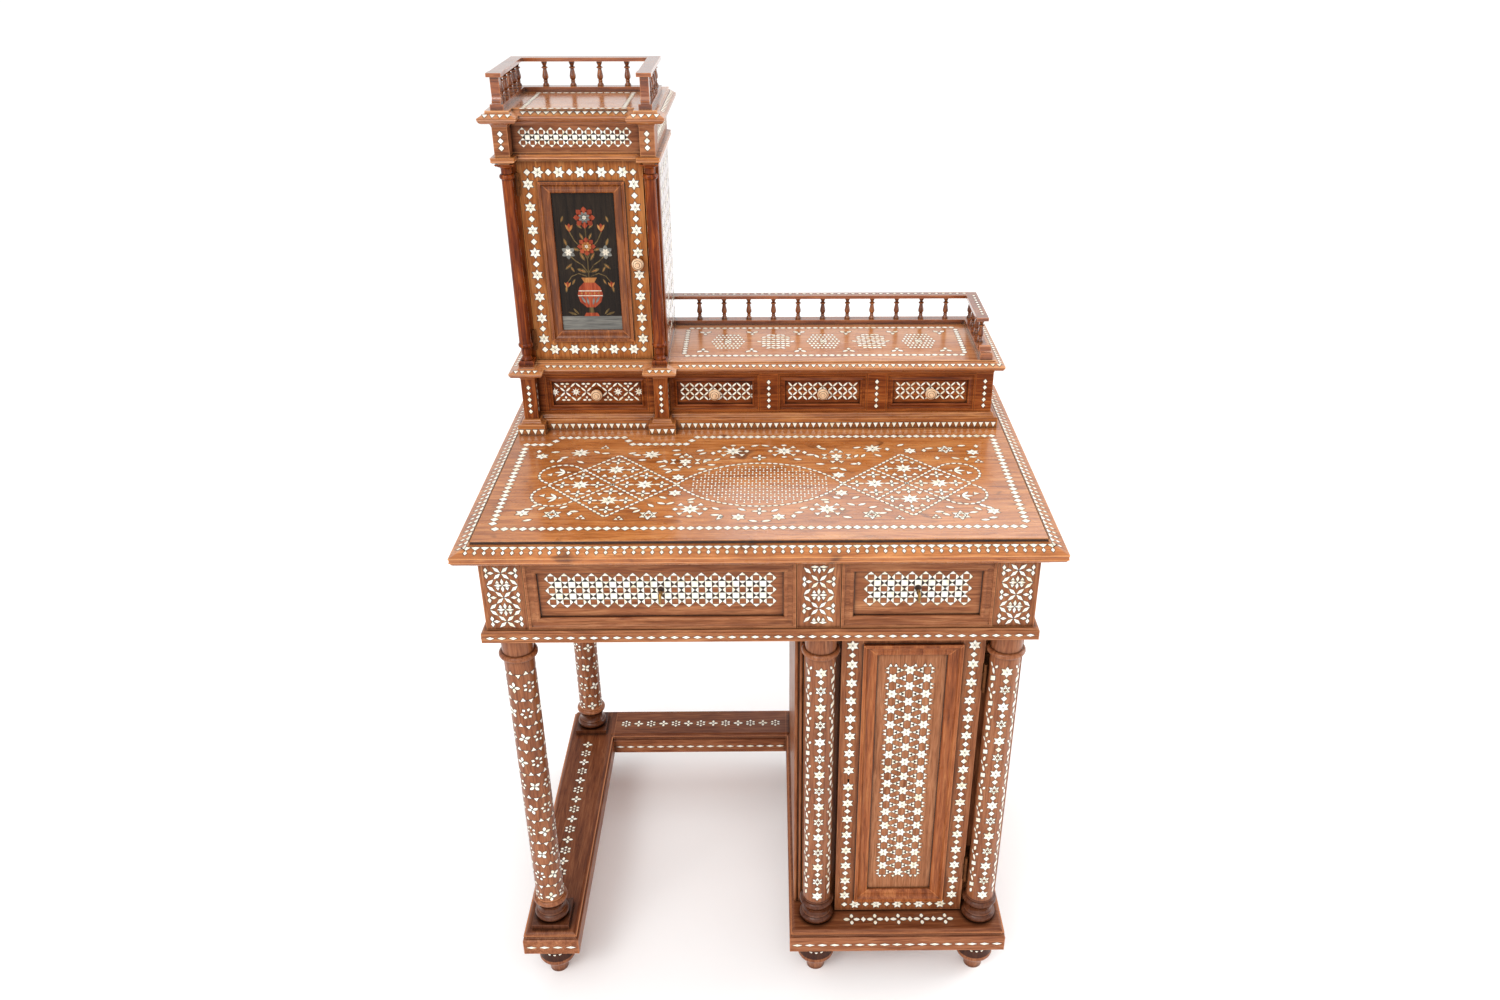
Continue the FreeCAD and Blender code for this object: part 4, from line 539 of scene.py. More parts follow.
def make_materials():
    wood("wood", BROWN)
    wood("wood_upright", BROWN, "z", 17.0)
    wood("wall_wood", BROWN, "level", 97.0)
    wood("glare_wood", BROWN, "z", 57.0, 1.0, 0.2, 0.5)
    wood("fascia_wood", FASCIA, "x", 51.0, 0.15)
    wood("fascia_upright", FASCIA, "z", 53.0, 0.15)
    # painted shade: the top is darker below its sloping edge, on the nosing and the moulding under it
    wood("top_wood", ((130, 66, 25), (187, 114, 57), (217, 150, 89)), "x", 3.0, 0.6, 0.24, 0.25,
         smoke=0.6, ends=(766, FAR, (0.8, 0.72, 0.68)))
    wood("lip_wood", GOLD, "x", 87.0, 0.5, 0.26, 0.2, 0.7)
    # painted shade: shelf and cornice are darker below their top faces, under the nosing
    wood("shelf_wood", SHELF, "x", 5.0, 0.8, 0.22, 0.3, 0.7, ends=(874.5, FAR, UNDER_NOSING_SHADE))
    wood("cornice_wood", SHELF, "x", 6.0, 0.8, 0.22, 0.3, 0.7, ends=(1224, FAR, UNDER_NOSING_SHADE))
    wood("gold_wood", GOLD, "z", 37.0)
    wood("panel_wood", ((118, 66, 38), (155, 99, 65), (184, 128, 91)), "z", 91.0)
    wood("moulding_wood", ((96, 44, 16), (147, 80, 42), (184, 116, 68)), "z", 93.0, 0.15, 0.28,
         figure=0.6)
    wood("baluster_wood", ((58, 24, 7), (116, 58, 22), (184, 112, 54)), "z", 95.0, 0.5, 0.2, 0.4)
    wood("trim_wood", ((74, 30, 8), (118, 60, 20), (170, 100, 46)), "z", 41.0, 0.4, 0.22, 0.2)
    wood("base_wood", PLINTH, "x", 7.0, ends=PLINTH_TOP)
    wood("base_deep", PLINTH, "y", 29.0, ends=PLINTH_TOP)
    wood("base_upright", BASE, "z", 23.0)
    # painted shade: the feet are darker above their rims, where they stand under the plinth
    wood("foot_wood", BASE, "z", 99.0, 0.3, ends=(-9, 35, (0.2, 0.15, 0.13)))
    wood("column_wood", BASE, "z", 61.0, 0.35, ends=(150, 700, (0.34, 0.28, 0.26)))
    wood("red_wood", ((50, 14, 0), (108, 42, 8), (166, 84, 26)), "z", 11.0, 0.2, 0.22, 0.1)
    wood("rail_wood", ((84, 34, 12), (136, 70, 34), (176, 110, 62)), "x", 43.0, 0.9, 0.22, 0.3)
    wood("lining_wood", ((122, 84, 52), (168, 126, 84), (196, 156, 112)), "y", 4.0, 0.0, 0.6)
    wood("picture", ((18, 12, 8), (32, 23, 16), (50, 38, 27)), "z", 31.0, 0.1, 0.24)
    for stain, tones, grain, seed in (
            ("red", ((96, 34, 18), (146, 60, 36), (178, 88, 54)), "z", 71.0),
            ("grey", ((72, 72, 70), (106, 106, 102), (140, 138, 130)), "x", 73.0),
            ("olive", ((58, 46, 26), (98, 80, 48), (128, 108, 68)), "z", 77.0),
            ("white", ((176, 164, 140), (220, 212, 194), (240, 234, 222)), "z", 79.0),
            ("tan", ((126, 74, 34), (170, 112, 60), (200, 146, 88)), "z", 83.0)):
        wood(f"veneer_{stain}", tones, grain, seed, corner_shade=0.0, edge_highlight_and_patina=0.0)
    metal("brass", (66, 40, 18), (168, 128, 66), 0.3)
    metal("bronze", (60, 34, 18), (120, 74, 42), 0.45)
    metal("iron", (26, 20, 18), (78, 68, 60), 0.4)
    turned_bone()
    bone_inlay()
    inlay_line()


COLUMNS = ("column_front_left", "column_rear_left", "column_pedestal_left", "column_pedestal_right")
FINISH = {
    "wood_upright": ("case_pilasters", "tower_stiles"),
    "wall_wood": ("frieze_walls", "case_walls"),
    "glare_wood": ("tower_walls",),
    "fascia_wood": ("left_drawer_front", "right_drawer_front", "waist_board", "tower_frieze"),
    "fascia_upright": ("frieze_stiles",),
    "lip_wood": ("case_base", "tower_architrave"),
    "shelf_wood": ("case_top",),
    "cornice_wood": ("tower_cornice",),
    "gold_wood": ("tower_door_frame",),
    "trim_wood": ("tower_door_moulding",),
    "panel_wood": ("pedestal_door_panel",),
    "moulding_wood": ("pedestal_door_moulding",),
    "base_deep": ("plinth_left_runner",),
    "base_upright": ("pedestal_walls", "pedestal_stiles", "pedestal_door_frame"),
    "foot_wood": ("feet",),
    "column_wood": COLUMNS,
    "rail_wood": ("shelf_gallery_kerb", "shelf_gallery_rail", "tower_gallery_kerb", "tower_gallery_rail",
                  "tower_gallery_posts"),
    "baluster_wood": ("shelf_gallery_balusters", "tower_gallery_balusters"),
    "bronze": ("case_hinge_plates", "pedestal_door_hinges", "tower_door_hinges"),
}


def finish_nodes():
    """Each CAD node gets its slot's material, or the same wood with its own grain."""
    chosen = {part["node"]: part["material_slot"] for part in frame["record"]["subparts"]}
    chosen.update((node, material) for material, nodes in FINISH.items() for node in nodes)
    for name, node in frame["nodes"].items():
        node.data.materials.clear()
        node.data.materials.append(MATERIALS[chosen[name]])


# ---------------------------------------------------------------- stage


def area_light(name, place, aim, size, power):
    data = bpy.data.lights.new(name, "AREA")
    data.shape, data.size, data.size_y = "RECTANGLE", *size
    data.energy = power
    light = added(name, data)
    light.location = place
    light.rotation_euler = (Vector(aim) - Vector(place)).to_track_quat("-Z", "Y").to_euler()


def build_stage():
    half = 40.0
    mesh = bpy.data.meshes.new("floor")
    corners = [(-half, -half, 0), (half, -half, 0), (half, half, 0), (-half, half, 0)]
    mesh.from_pydata(corners, [], [(0, 1, 2, 3)])
    added("floor", mesh)
    n = Nodes("floor")
    n.shade(Base_Color=n.ramp(n.noise(n.place, 3.0), (0.3, 0.98), (0.7, 1.0)), Roughness=0.9)
    mesh.materials.append(n.material)

    scene = bpy.context.scene
    scene.world = bpy.data.worlds.new("world")
    scene.world.use_nodes = True
    background = scene.world.node_tree.nodes["Background"]
    background.inputs["Color"].default_value = (1.0, 1.0, 1.0, 1.0)
    background.inputs["Strength"].default_value = 0.88
    scene.view_settings.view_transform = "Standard"
    sky = bpy.data.lights.new("sky", "SUN")
    sky.energy, sky.angle = 1.1, radians(60)
    added("sky", sky).rotation_euler = Vector((-0.3, -1.1, 1.0)).to_track_quat("Z", "Y").to_euler()
    area_light("key", (-1.6, -2.6, 2.8), (0, 0, 0.7), (1.4, 1.4), 34)
    area_light("right", (3.0, 0.6, 1.6), (0, 0, 1.0), (1.6, 2.4), 50)
    area_light("back", (0.9, 3.2, 3.05), (0.1, -0.2, 0.78), (2.4, 1.0), 14)

    data = bpy.data.cameras.new("camera")
    data.sensor_width, data.lens = 36.0, 28.69
    data.shift_x, data.shift_y = -0.0235, 0.0381
    camera = added("camera", data)
    camera.location = (0.0166, -1.5620, 1.4894)
    camera.rotation_euler = (radians(60.52), 0.0, radians(-0.66))
    scene.camera = camera


# ---------------------------------------------------------------- writing top

LEAF = lens(12.0, 5.0)
PETALS = flower(4, 9.8, 4.2, 0.0)
BIG_STAR = star(8, 14.2, 0.5)
SMALL_STAR = star(6, 9.8)
TINY = triangle(7.6, 7.0)

# a star with four crosses and four triangles round it
LATTICE_CELL = BIG_STAR + moved(PETALS, -24) + moved(PETALS, 23) + mirrored(moved(PETALS, 0, 27), "y") \
    + mirrored(moved(TINY, 14, 18, 180))

# a star with diamonds, leaves and triangles round it
MEDALLION = BIG_STAR + mirrored(moved(diamond(7.4, 8.4), 19.5), "x") \
    + mirrored(moved(lens(8.0, 5.4), 0, 20), "y") + mirrored(moved(TINY, 13, 14))

# a small star between bow ties, with triangles above and below
BOW_TIE_STAR = SMALL_STAR + moved(TINY, 0, 24) + moved(TINY, 0, -12, 180) + mirrored(
    moved(bow_tie(8.0, 14.5), 17) + moved(TINY, 6, 17) + moved(TINY, 6, -19, 180)
    + moved(LEAF, 24, -25, 8) + moved(LEAF, 28, 1, 60), "x")


def inlay_top():
    inlay = Inlay("top")
    face = inlay.top("top_board", 0, -100)

    # border, stepping forward round the two pilasters
    edge, front, rear = 339.0, -231.5, 51.4
    first_end, second, second_end, stepped = -300.6, -191.0, -103.0, rear - 24.4
    rhomb, pitch, rear_pitch, corner = diamond(10.9, 10.4), 11.7, 11.2, 9.0
    face.row(rhomb, -edge, edge, front, pitch)
    face.column(rhomb, front + corner, stepped - corner, -edge, pitch, 90)
    face.column(rhomb, front + corner, rear - corner, edge, pitch, 90)
    for start, end, v in ((-edge - 5, first_end, stepped), (first_end + 4, second - 4, rear),
                          (second, second_end, stepped), (second_end + 4, edge + 5, rear)):
        face.row(rhomb, start, end, v, rear_pitch)
    for u in (first_end + 2, second - 2, second_end + 2):
        face.lay(rhomb, u, (rear + stepped) / 2)

    def dashes(path):
        face.along(path, lens(7.4, 3.8), 8.6)

    # lens-shaped field of small upright pieces in the middle
    centre, middle_v, half_length, half_width = -1.0, -105.7, 112.0, 66.0
    radius = (half_length ** 2 + half_width ** 2) / (2 * half_width)
    swing = degrees(asin(half_length / radius))
    for way in SIDES:
        pivot = (centre, middle_v - way * (radius - half_width))
        dashes(arc_path(pivot, radius, way * 90 - swing, way * 90 + swing))
    tick, spacing, drop = bow_tie(2.9, 9.8), 5.0, 17.3
    for i in range(-18, 19):
        u = spacing * i
        room = sqrt(radius ** 2 - u ** 2) - (radius - half_width) - 5.0
        for k in range(-4, 5):
            v = drop * (k + (0.5 if i % 2 else 0.0))
            if abs(v) + 4.6 < room:
                face.lay(tick, centre + u, middle_v + v, line=0.4)

    # a lattice of four cells at each side, and two loops beyond it
    for side in SIDES:
        cell_u, cell_v = side * 43.5, 47.0
        near = centre + side * half_length
        mid, far = near + 2 * cell_u, near + 4 * cell_u
        start, end = (165, -62) if side > 0 else (15, 242)
        for way in SIDES:
            rise = way * cell_v
            dashes(line_path((near, middle_v), (mid, middle_v + 2 * rise)))
            dashes(line_path((far, middle_v), (mid, middle_v + 2 * rise)))
            dashes(line_path((near + cell_u, middle_v + rise), (mid + cell_u, middle_v - rise)))
            face.lay(LATTICE_CELL, mid, middle_v + rise)
            face.lay(LATTICE_CELL, mid + way * cell_u, middle_v)
            u, v = centre + side * 272, middle_v + way * 32
            dashes(arc_path((u, v), 30.5, way * start, way * end))
            face.lay(trefoil(15.0), u - side * 4, v + way * 7, 0 if side > 0 else 180)
            face.lay(TINY, u + side * 17, v, -90 * side)

    # large and small stars and their leaves
    face.scatter(MEDALLION, (-40, 1), (33, 1), (-91, -179), (87, -181))
    face.scatter(BIG_STAR, (-257, -2), (-155, -9), (160, 8))
    face.scatter(SMALL_STAR, (-113, -84), (-114, -132), (-28, -202), (24, -202), (107, -79), (108, -134),
                 (213, 0), (302, -6), (302, -189), (-310, -13), (-307, -188))
    face.scatter(BOW_TIE_STAR, (-106, -33), (107, -18))
    face.scatter(hollow_star(13.0), (-144, -195), (144, -197), (259, -200), (264, 4), (-268, -192))
    face.scatter(PETALS, (-2, -21), (-1, -186))
    face.scatter(trio(5.0), (179, -205), (-181, -203), (226, -203), (-230, -200), (306, -35), (-224, 18))
    face.scatter(diamond(6.8, 10.2), (62, -4), (83, 16), (137, -42), (181, 6), (233, 1), (249, -25),
                 (310, 15), (290, -29), (43, -200), (-317, 3), (-293, -30), (-246, -190), (-68, -5),
                 (-51, -200))
    face.scatter(
        LEAF,
        (-9, 20, 20), (6, 20, -20), (70, -12, 0), (52, -27, -12), (88, 9, -25),
        (145, -16, 60), (138, 12, 15), (166, -15, -35), (201, 20, 30), (241, 8, 10), (275, -26, -25),
        (289, 17, 5), (300, -22, 0), (102, -57, 15), (114, -61, -40),
        (101, -148, -25), (126, -148, 30), (119, -168, -30), (133, -168, 30), (85, -154, 0),
        (57, -177, 25), (50, -190, 10), (19, -184, 35), (-9, -213, -15), (8, -213, 15), (112, -204, -12),
        (147, -176, 18), (166, -184, -35), (158, -193, 5), (232, -190, 5), (240, -197, -40),
        (247, -177, -25), (276, -192, 10), (283, -182, -45), (291, -173, -45), (299, -179, -35),
        (299, -207, 10), (288, -213, 5),
        (-293, 1, 5), (-278, -18, 25), (-283, -28, 60), (-253, -33, -30), (-234, 0, -40),
        (-221, -4, 5), (-183, -4, 20), (-176, -10, -10), (-167, -27, 5), (-141, -33, 15),
        (-137, -48, 35), (-121, 5, 5), (-119, -9, 20), (-127, -66, 45), (-117, -60, -5),
        (-87, 4, 20), (-83, -6, 30), (-75, -28, 5), (-69, -44, -5), (-62, -27, 40),
        (-143, -168, -45), (-165, -176, -5), (-160, -184, 40), (-130, -162, -20), (-118, -162, 30),
        (-129, -145, -30), (-91, -151, 25), (-117, -200, 0), (-58, -178, -30), (-58, -196, 0),
        (-52, -204, 50), (-24, -181, -30), (-256, -172, 35), (-241, -184, 0), (-284, -175, 50),
        (-294, -167, 50), (-301, -177, 5), (-297, -208, 20))


def inlay_top_edges():
    """The sloping edge: wide flat triangles with a small diamond under each."""
    inlay = Inlay("top_edges")
    low, high = box("top_board")
    slope, margin, pitch = 11.0, 20.0, 11.4
    pieces = [[(-5.2, 7.6), (0, 2.8), (5.2, 7.6), (0, 8.6)]] + moved(diamond(4.6, 6.8), 0, -1.6)
    for x, y, across, length in ((0, low.y + slope, X, high.x - low.x),
                                 (high.x - slope, 0, Y, high.y - low.y),
                                 (low.x + slope, 0, -Y, high.y - low.y)):
        face = inlay.top("top_board", x, y, across)
        half = length / 2 - margin
        count = int(2 * half / pitch)
        for i in range(count + 1):
            face.lay(pieces, half * (2 * i / count - 1), face.v)

    # painted shadow: a dark strip along the riser of the raised field, where its step is in shade
    inset, bottom, top, z = 23.5, high.z - 4.0, high.z - 0.9, high.z - 2
    for face, end in ((inlay.front("top_board", 0, z), high.x), (inlay.side("top_board", 1, 0, z), high.y),
                      (inlay.side("top_board", -1, 0, z), high.y)):
        face.strip(inset - end, end - inset, bottom, top)


# ---------------------------------------------------------------- frieze

RING_PITCH = 17.34


def quirk_shade_lines(face, left, right, bottom, top, width=0.9):
    """Thin dark lines inside a rectangle, or outside it where width is negative.

    They are painted shade in a moulding's quirk.
    """
    for a, b in ((left, left + width), (right - width, right)):
        face.strip(min(a, b), max(a, b), bottom, top)
    for a, b in ((bottom, bottom + width), (top - width, top)):
        face.strip(left, right, min(a, b), max(a, b))


def ring_field(face, left, right, columns, rows, middle_v, pitch_v=17.2):
    """Rows of square rings with solid squares between them."""
    pitch_u = (right - left) / columns
    size = min(pitch_u, pitch_v) * 0.975
    tile = size * 0.497
    for i in range(columns):
        for k in range(rows):
            u, v = left + pitch_u * (i + 0.5), middle_v + pitch_v * (k - (rows - 1) / 2)
            face.lay(ring_square(size), u, v, line=LINE * size / 17.0)
            if i < columns - 1 and k < rows - 1:
                face.dark(diamond(pitch_u, pitch_v), u + pitch_u / 2, v + pitch_v / 2)
                face.lay(rectangle(tile, tile), u + pitch_u / 2, v + pitch_v / 2, line=0)


def inlay_frieze_drawers():
    for body, columns in (("left_drawer", 17), ("right_drawer", 8)):
        inlay, node = Inlay(body, body), f"{body}_front"
        low, high = box(node)
        u, _, v = middle(node)
        face = inlay.front(node, u + 40, v + 12)
        half, border, hole = columns * RING_PITCH / 2, 16.1, 4.6
        quirk_shade_lines(face, low.x + border, high.x - border, low.z + border, high.z - border)
        # painted shade: a dark disc stands for the keyhole's opening
        face.prism("inlay_line", [(u + hole * cos(radians(a)), v + 7 + hole * sin(radians(a)))
                                  for a in range(0, 360, 30)], HOLE_PROUD)
        ring_field(face, u - half, u + half, columns, 3, v + 5.8)


def stile_loops(face, u, nodes, middles, reach_v):
    """Loops of petals from X to X, with a flower in each loop and a trio at each side of an X."""
    reach_u, petal = 20.0, diamond(12.4, 4.8)
    turn = degrees(atan2(reach_v, reach_u))
    arm = moved(petal, reach_u * 0.26, reach_v * 0.26, turn)
    crossing = mirrored(arm + moved(diamond(4.8, 7.8), 18.6, 4.2)) \
        + mirrored(moved(diamond(8.4, 4.4), 13.0), "x")
    upper = moved(diamond(4.2, 9.4), 0, 5.2) + mirrored(
        moved(triangle(4.8, 4.4), 6.0, 5.2) + moved(petal, reach_u * 0.74, reach_v * 0.26, -turn), "x")
    for v in nodes:
        face.lay(crossing, u, v)
    for v, ways in middles:
        face.lay(mirrored(moved(diamond(10.4, 4.2), 5.6), "x"), u, v)
        for way in ways:
            face.lay(upper, u, v, 0 if way > 0 else 180)


def inlay_frieze_stiles():
    inlay = Inlay("frieze_stiles")
    low, high = box("frieze_stiles")
    (left_low, left_high), (right_low, right_high) = box("left_drawer_front"), box("right_drawer_front")
    outer = ((660, 696, 732), ((678, SIDES), (714, SIDES)), 18.0)
    inner = ((677, 717), ((697, SIDES), (738.5, (-1,)), (655.5, (1,))), 20.0)
    for start, end, loops in ((low.x, left_low.x, outer), (left_high.x, right_low.x, inner),
                              (right_high.x, high.x, outer)):
        u = (start + end) / 2
        stile_loops(inlay.front("frieze_stiles", u, 700), u, *loops)
    columns, rows, wall_middle = 24, 3, 702.8
    half = RING_PITCH * columns / 2
    for side in SIDES:
        ring_field(inlay.side("frieze_walls", side, 0, 690), -half, half, columns, rows, wall_middle)


def inlay_fascias():
    """Rows of long diamonds on the waist board and the plinth."""
    inlay = Inlay("fascias")
    low, high = box("waist_board")
    z, long, pitch, half = (low.z + high.z) / 2 - 1, diamond(10.6, 4.2), 15.0, (high.y - low.y) / 2 - 6
    inlay.front("waist_board", 0, z).row(long, low.x + 4, high.x - 4, z, pitch)
    for side in SIDES:
        inlay.side("waist_board", side, 0, z).row(long, -half, half, z, pitch)
    z, bar, pitch = 81.0, diamond(15.0, 4.6), 19.0
    for node, side in (("plinth_left_runner", -1), ("plinth_pedestal", 1)):
        low, high = box(node)
        inlay.front(node, (low.x + high.x) / 2, z).row(bar, low.x + 2, high.x - 2, z, pitch)
        start, end = sorted((side * low.y, side * high.y))
        inlay.side(node, side, 0, z).row(bar, start + 4, end - 4, z, pitch)
    left, right = box("plinth_left_runner")[1].x + 2, box("plinth_pedestal")[0].x - 2
    inlay.front("plinth_back_rail", -120, z).row(bar, left, right, z, pitch)


# ---------------------------------------------------------------- base


def inlay_plinth_tops():
    inlay = Inlay("plinth_tops")
    u = middle("plinth_left_runner").x
    face = inlay.top("plinth_left_runner", u, 0)
    pieces = (spokes(diamond(5.6, 4.8), 6, 6.6) + diamond(3.4, 3.4), flower(4, 8.6, 4.6, 0.0))
    first, pitch, count = -188, 25.0, 16
    for i in range(count):
        face.lay(pieces[i % 2], u - 3, first + pitch * i)
    face = inlay.top("plinth_back_rail", -120, 240)
    left, right = box("plinth_left_runner")[1].x + 8, box("plinth_pedestal")[0].x - 8
    v, count = 249.0, 13
    for i in range(count):
        face.lay(pieces[i % 2], left + (right - left) * (i + 0.5) / count, v)
    left, right, units, v = 115.5, 294.5, 5, -243.5
    face, pitch = inlay.top("plinth_pedestal", 200, v), (right - left) / units
    cross = mirrored(moved(lens(10.0, 6.2), 7.6), "x") + mirrored(moved(lens(8.2, 5.4), 0, 6.6, 90), "y")
    for i in range(units):
        face.lay(cross, left + pitch * (i + 0.5), v)
        if i:
            face.lay(diamond(7.8, 10.4), left + pitch * i, v, line=0.6)

    # small triangles round the neck of each foot
    front_left, rear_left, *pedestal = [middle(name).xy for name in COLUMNS]
    rear_pedestal = [(place.x, rear_left.y) for place in pedestal]
    neck_z, rise, tooth_z, teeth = 48.0, 4.0, 45.0, 18
    for x, y in (front_left, rear_left, *pedestal, *rear_pedestal):
        neck = Round(inlay, "feet", x, y, neck_z, rise)
        for i in range(teeth):
            neck.lay(triangle(4.4, 4.6), 2 * pi * neck.radius * i / teeth, tooth_z, 180, line=0)


def inlay_left_columns():
    """Flowers and rings in turn round the shaft, with a zigzag of small triangles between the rows."""
    motifs = (flower(4, 8.8, 4.8, 0.0), spokes(diamond(5.2, 4.4), 6, 6.6))
    around, rows, period, first, drift, teeth = 6, 10, 42.5, 166.0, 8.0, 12
    rise, thin = 1.2, 0.45
    for node in COLUMNS[:2]:
        shaft = Inlay(node).shaft(node)
        turn = 2 * pi * shaft.radius
        gap = turn / teeth
        for k in range(rows):
            for i in range(around):
                u = turn * i / around - drift * (rows - k)
                shaft.lay(motifs[(i + k // 2) % 2], u, first + period * k, 18 * (k % 3))
        for k in range(1, rows + 1):
            for i in range(teeth):
                u, v = gap * i - drift * (rows - k), first + period * (k - 0.5)
                way = 1 if i % 2 else -1
                shaft.lay(triangle(6.6, 5.4), u, v + 2.4 * way, 0 if way > 0 else 180)
                shaft.dark([[(0, way * rise - thin), (gap, -way * rise - thin),
                             (gap, thin - way * rise), (0, thin + way * rise)]], u, v)


def inlay_pedestal_columns():
    """A line of stars down the front and a band of leaves at each side of it."""
    stars, first, last, units, period = 8, 163.0, 569.5, 10, 41.0
    pitch = (last - first) / (stars - 1)
    for node in COLUMNS[2:]:
        shaft = Inlay(node).shaft(node)
        for i in range(stars):
            v = first + pitch * i
            shaft.lay(star(6, 9.0), 0, v)
            if i < stars - 1:
                shaft.lay(hollow_star(8.28), 0, v + pitch / 2, line=0.9)
                for share in (0.25, 0.75):
                    shaft.lay(diamond(8.2, 8.6), 0, v + pitch * share)
        for side in SIDES:
            u = side * shaft.radius * radians(54)
            for i in range(units):
                v = first - 6 + (last - first + 12) * (i + 0.5) / units
                shaft.lay([[(-3.8, -5.3), (3.8, -1.7), (3.8, 5.3), (-3.8, 1.7)]], u, v)
                for way in SIDES:
                    shaft.lay(lens(9.8, 4.3), u, v + way * 12.2, 90 + 14 * way, line=0.6)
                    shaft.lay(lens(6.6, 3.4), u + way * 4.4, v + period / 2, 90 - 35 * way, line=0.6)


def star_net(panel, centre):
    """Three columns of stars; between the stars of a column, open hexagons with triangles beside them."""
    bottom, top, steps, spacing = 181.8, 553.0, 28, 23.4
    tip, wedge = triangle(4.6, 4.4), [[(0, -5.2), (9.6, 0), (0, 5.2)]]
    for i in range(-1, steps + 2):
        for k in (-1, 0, 1):
            u, v = centre + spacing * k, bottom + (top - bottom) / steps * i
            whole = (steps - i + abs(k)) % 2 == 0
            if not 0 <= i <= steps:
                way = 1 if i < 0 else -1
                pair = mirrored(moved(tip, 3.6 if whole else 7.0), "x")
                panel.lay(pair, u, v + way * 4.8, 180 if way > 0 else 0)
            elif whole:
                panel.lay(star(6, 8.5), u, v, 90)
            else:
                for side in SIDES:
                    turn = 0 if side > 0 else 180
                    if abs(k + side) < 2:
                        panel.dark(wedge, u + side * 5.6, v, turn)
                        panel.lay(corner_triangle(), u + side * 5.6, v, turn)
                    else:
                        panel.lay(mirrored(moved(tip, 7.8, 3.0, -90), "y"), u, v, turn)


def inlay_pedestal_door():
    inlay = Inlay("pedestal_door", "pedestal_door")
    low, high = box("pedestal_door_frame")
    inner, outer = box("pedestal_door_moulding")
    centre, width = (inner.x + outer.x) / 2, 20.1
    left, right = (low.x + inner.x) / 2, (high.x + outer.x) / 2
    face = inlay.front("pedestal_door_frame", low.x + 5, 200)
    panel = inlay.front("pedestal_door_panel", centre, 365)
    quirk_shade_lines(face, inner.x, outer.x, inner.z, outer.z, -0.9)
    quirk_shade_lines(panel, inner.x + width, outer.x - width, inner.z + width, outer.z - width)
    first, pitch, stars, keyhole = 139.0, 30.5, 16, 7
    small, square = star(6, 8.8), diamond(8.8, 8.8)
    for u in (left, right):
        for i in range(stars):
            face.lay(small, u, first + pitch * i)
            if u == right or i != keyhole:
                face.lay(square, u, first + pitch * (i + 0.5))
    v, gaps = (low.z + inner.z) / 2 + 1, 10
    for i in range(gaps + 1):
        face.lay(small if i % 2 else square, left + (right - left) * i / gaps, v, 90)
    star_net(panel, centre - 2)


# ---------------------------------------------------------------- drawer case and shelf

PILASTERS = (-337.0, -145.5)


def bevel_row(inlay, node, x, y, left, right, pitch=9.7, across=X):
    """Flat triangles on a moulding's bevel, their tips towards the edge."""
    face = inlay.top(node, x, y, across)
    face.row(triangle(pitch * 0.7, 6.0), left, right, face.v, pitch, 180)


def inlay_case():
    inlay = Inlay("case")
    low, high = box("case_pilasters")
    bottom, top, pitch, upright = 809.0, 855.2, 9.25, diamond(6.8, 5.6)
    for x in PILASTERS:
        inlay.front("case_pilasters", x, 840).column(upright, bottom, top, x, pitch)
        side = inlay.side("case_pilasters", 1, low.y + 8, 840, x + 40)
        side.column(diamond(7.0, 4.0), bottom, top, low.y + 10, pitch)
    drawers = [box(f"small_drawer_{i}") for i in range(2, 5)]
    ends = [high.x for low, high in drawers]
    starts = [low.x for low, high in drawers[1:]] + [box("case_face")[1].x + 3]
    bottom, top, pitch = 806.6, 854.2, 9.5
    for end, start in zip(ends, starts):
        x = (end + start) / 2
        inlay.front("case_face", x, 840).column(upright, bottom, top, x, pitch)
    low, high = box("case_base")
    z, teeth, pitch, wide = 785.0, triangle(6.8, 7.4), 9.3, 10.0
    for left, right, step in ((-313, -169.5, pitch), (-121, high.x - 1, pitch), (-357, -317, wide),
                              (-165.5, -125.5, wide)):
        inlay.front("case_base", (left + right) / 2, z).row(teeth, left, right, z, step, 180)
    for side in SIDES:
        ends = sorted((side * (low.y + 24), side * (high.y - 3)))
        inlay.side("case_base", side, 180, z).row(teeth, *ends, z, pitch, 180)
    low, high = box("case_top")
    lip, node = 5.2, "case_top"
    straight = low.y + 21 + lip
    for x in PILASTERS:
        bevel_row(inlay, node, x, low.y + lip, x - 18.2, x + 18.2, 9.1)
    bevel_row(inlay, node, -240, straight, -313.5, -169)
    bevel_row(inlay, node, 100, straight, -121, high.x - 4)
    bevel_row(inlay, node, high.x - lip, 180, low.y + 28, high.y - 4, across=Y)
    bevel_row(inlay, node, low.x + lip, 180, -high.y + 4, -low.y - 28, across=-Y)


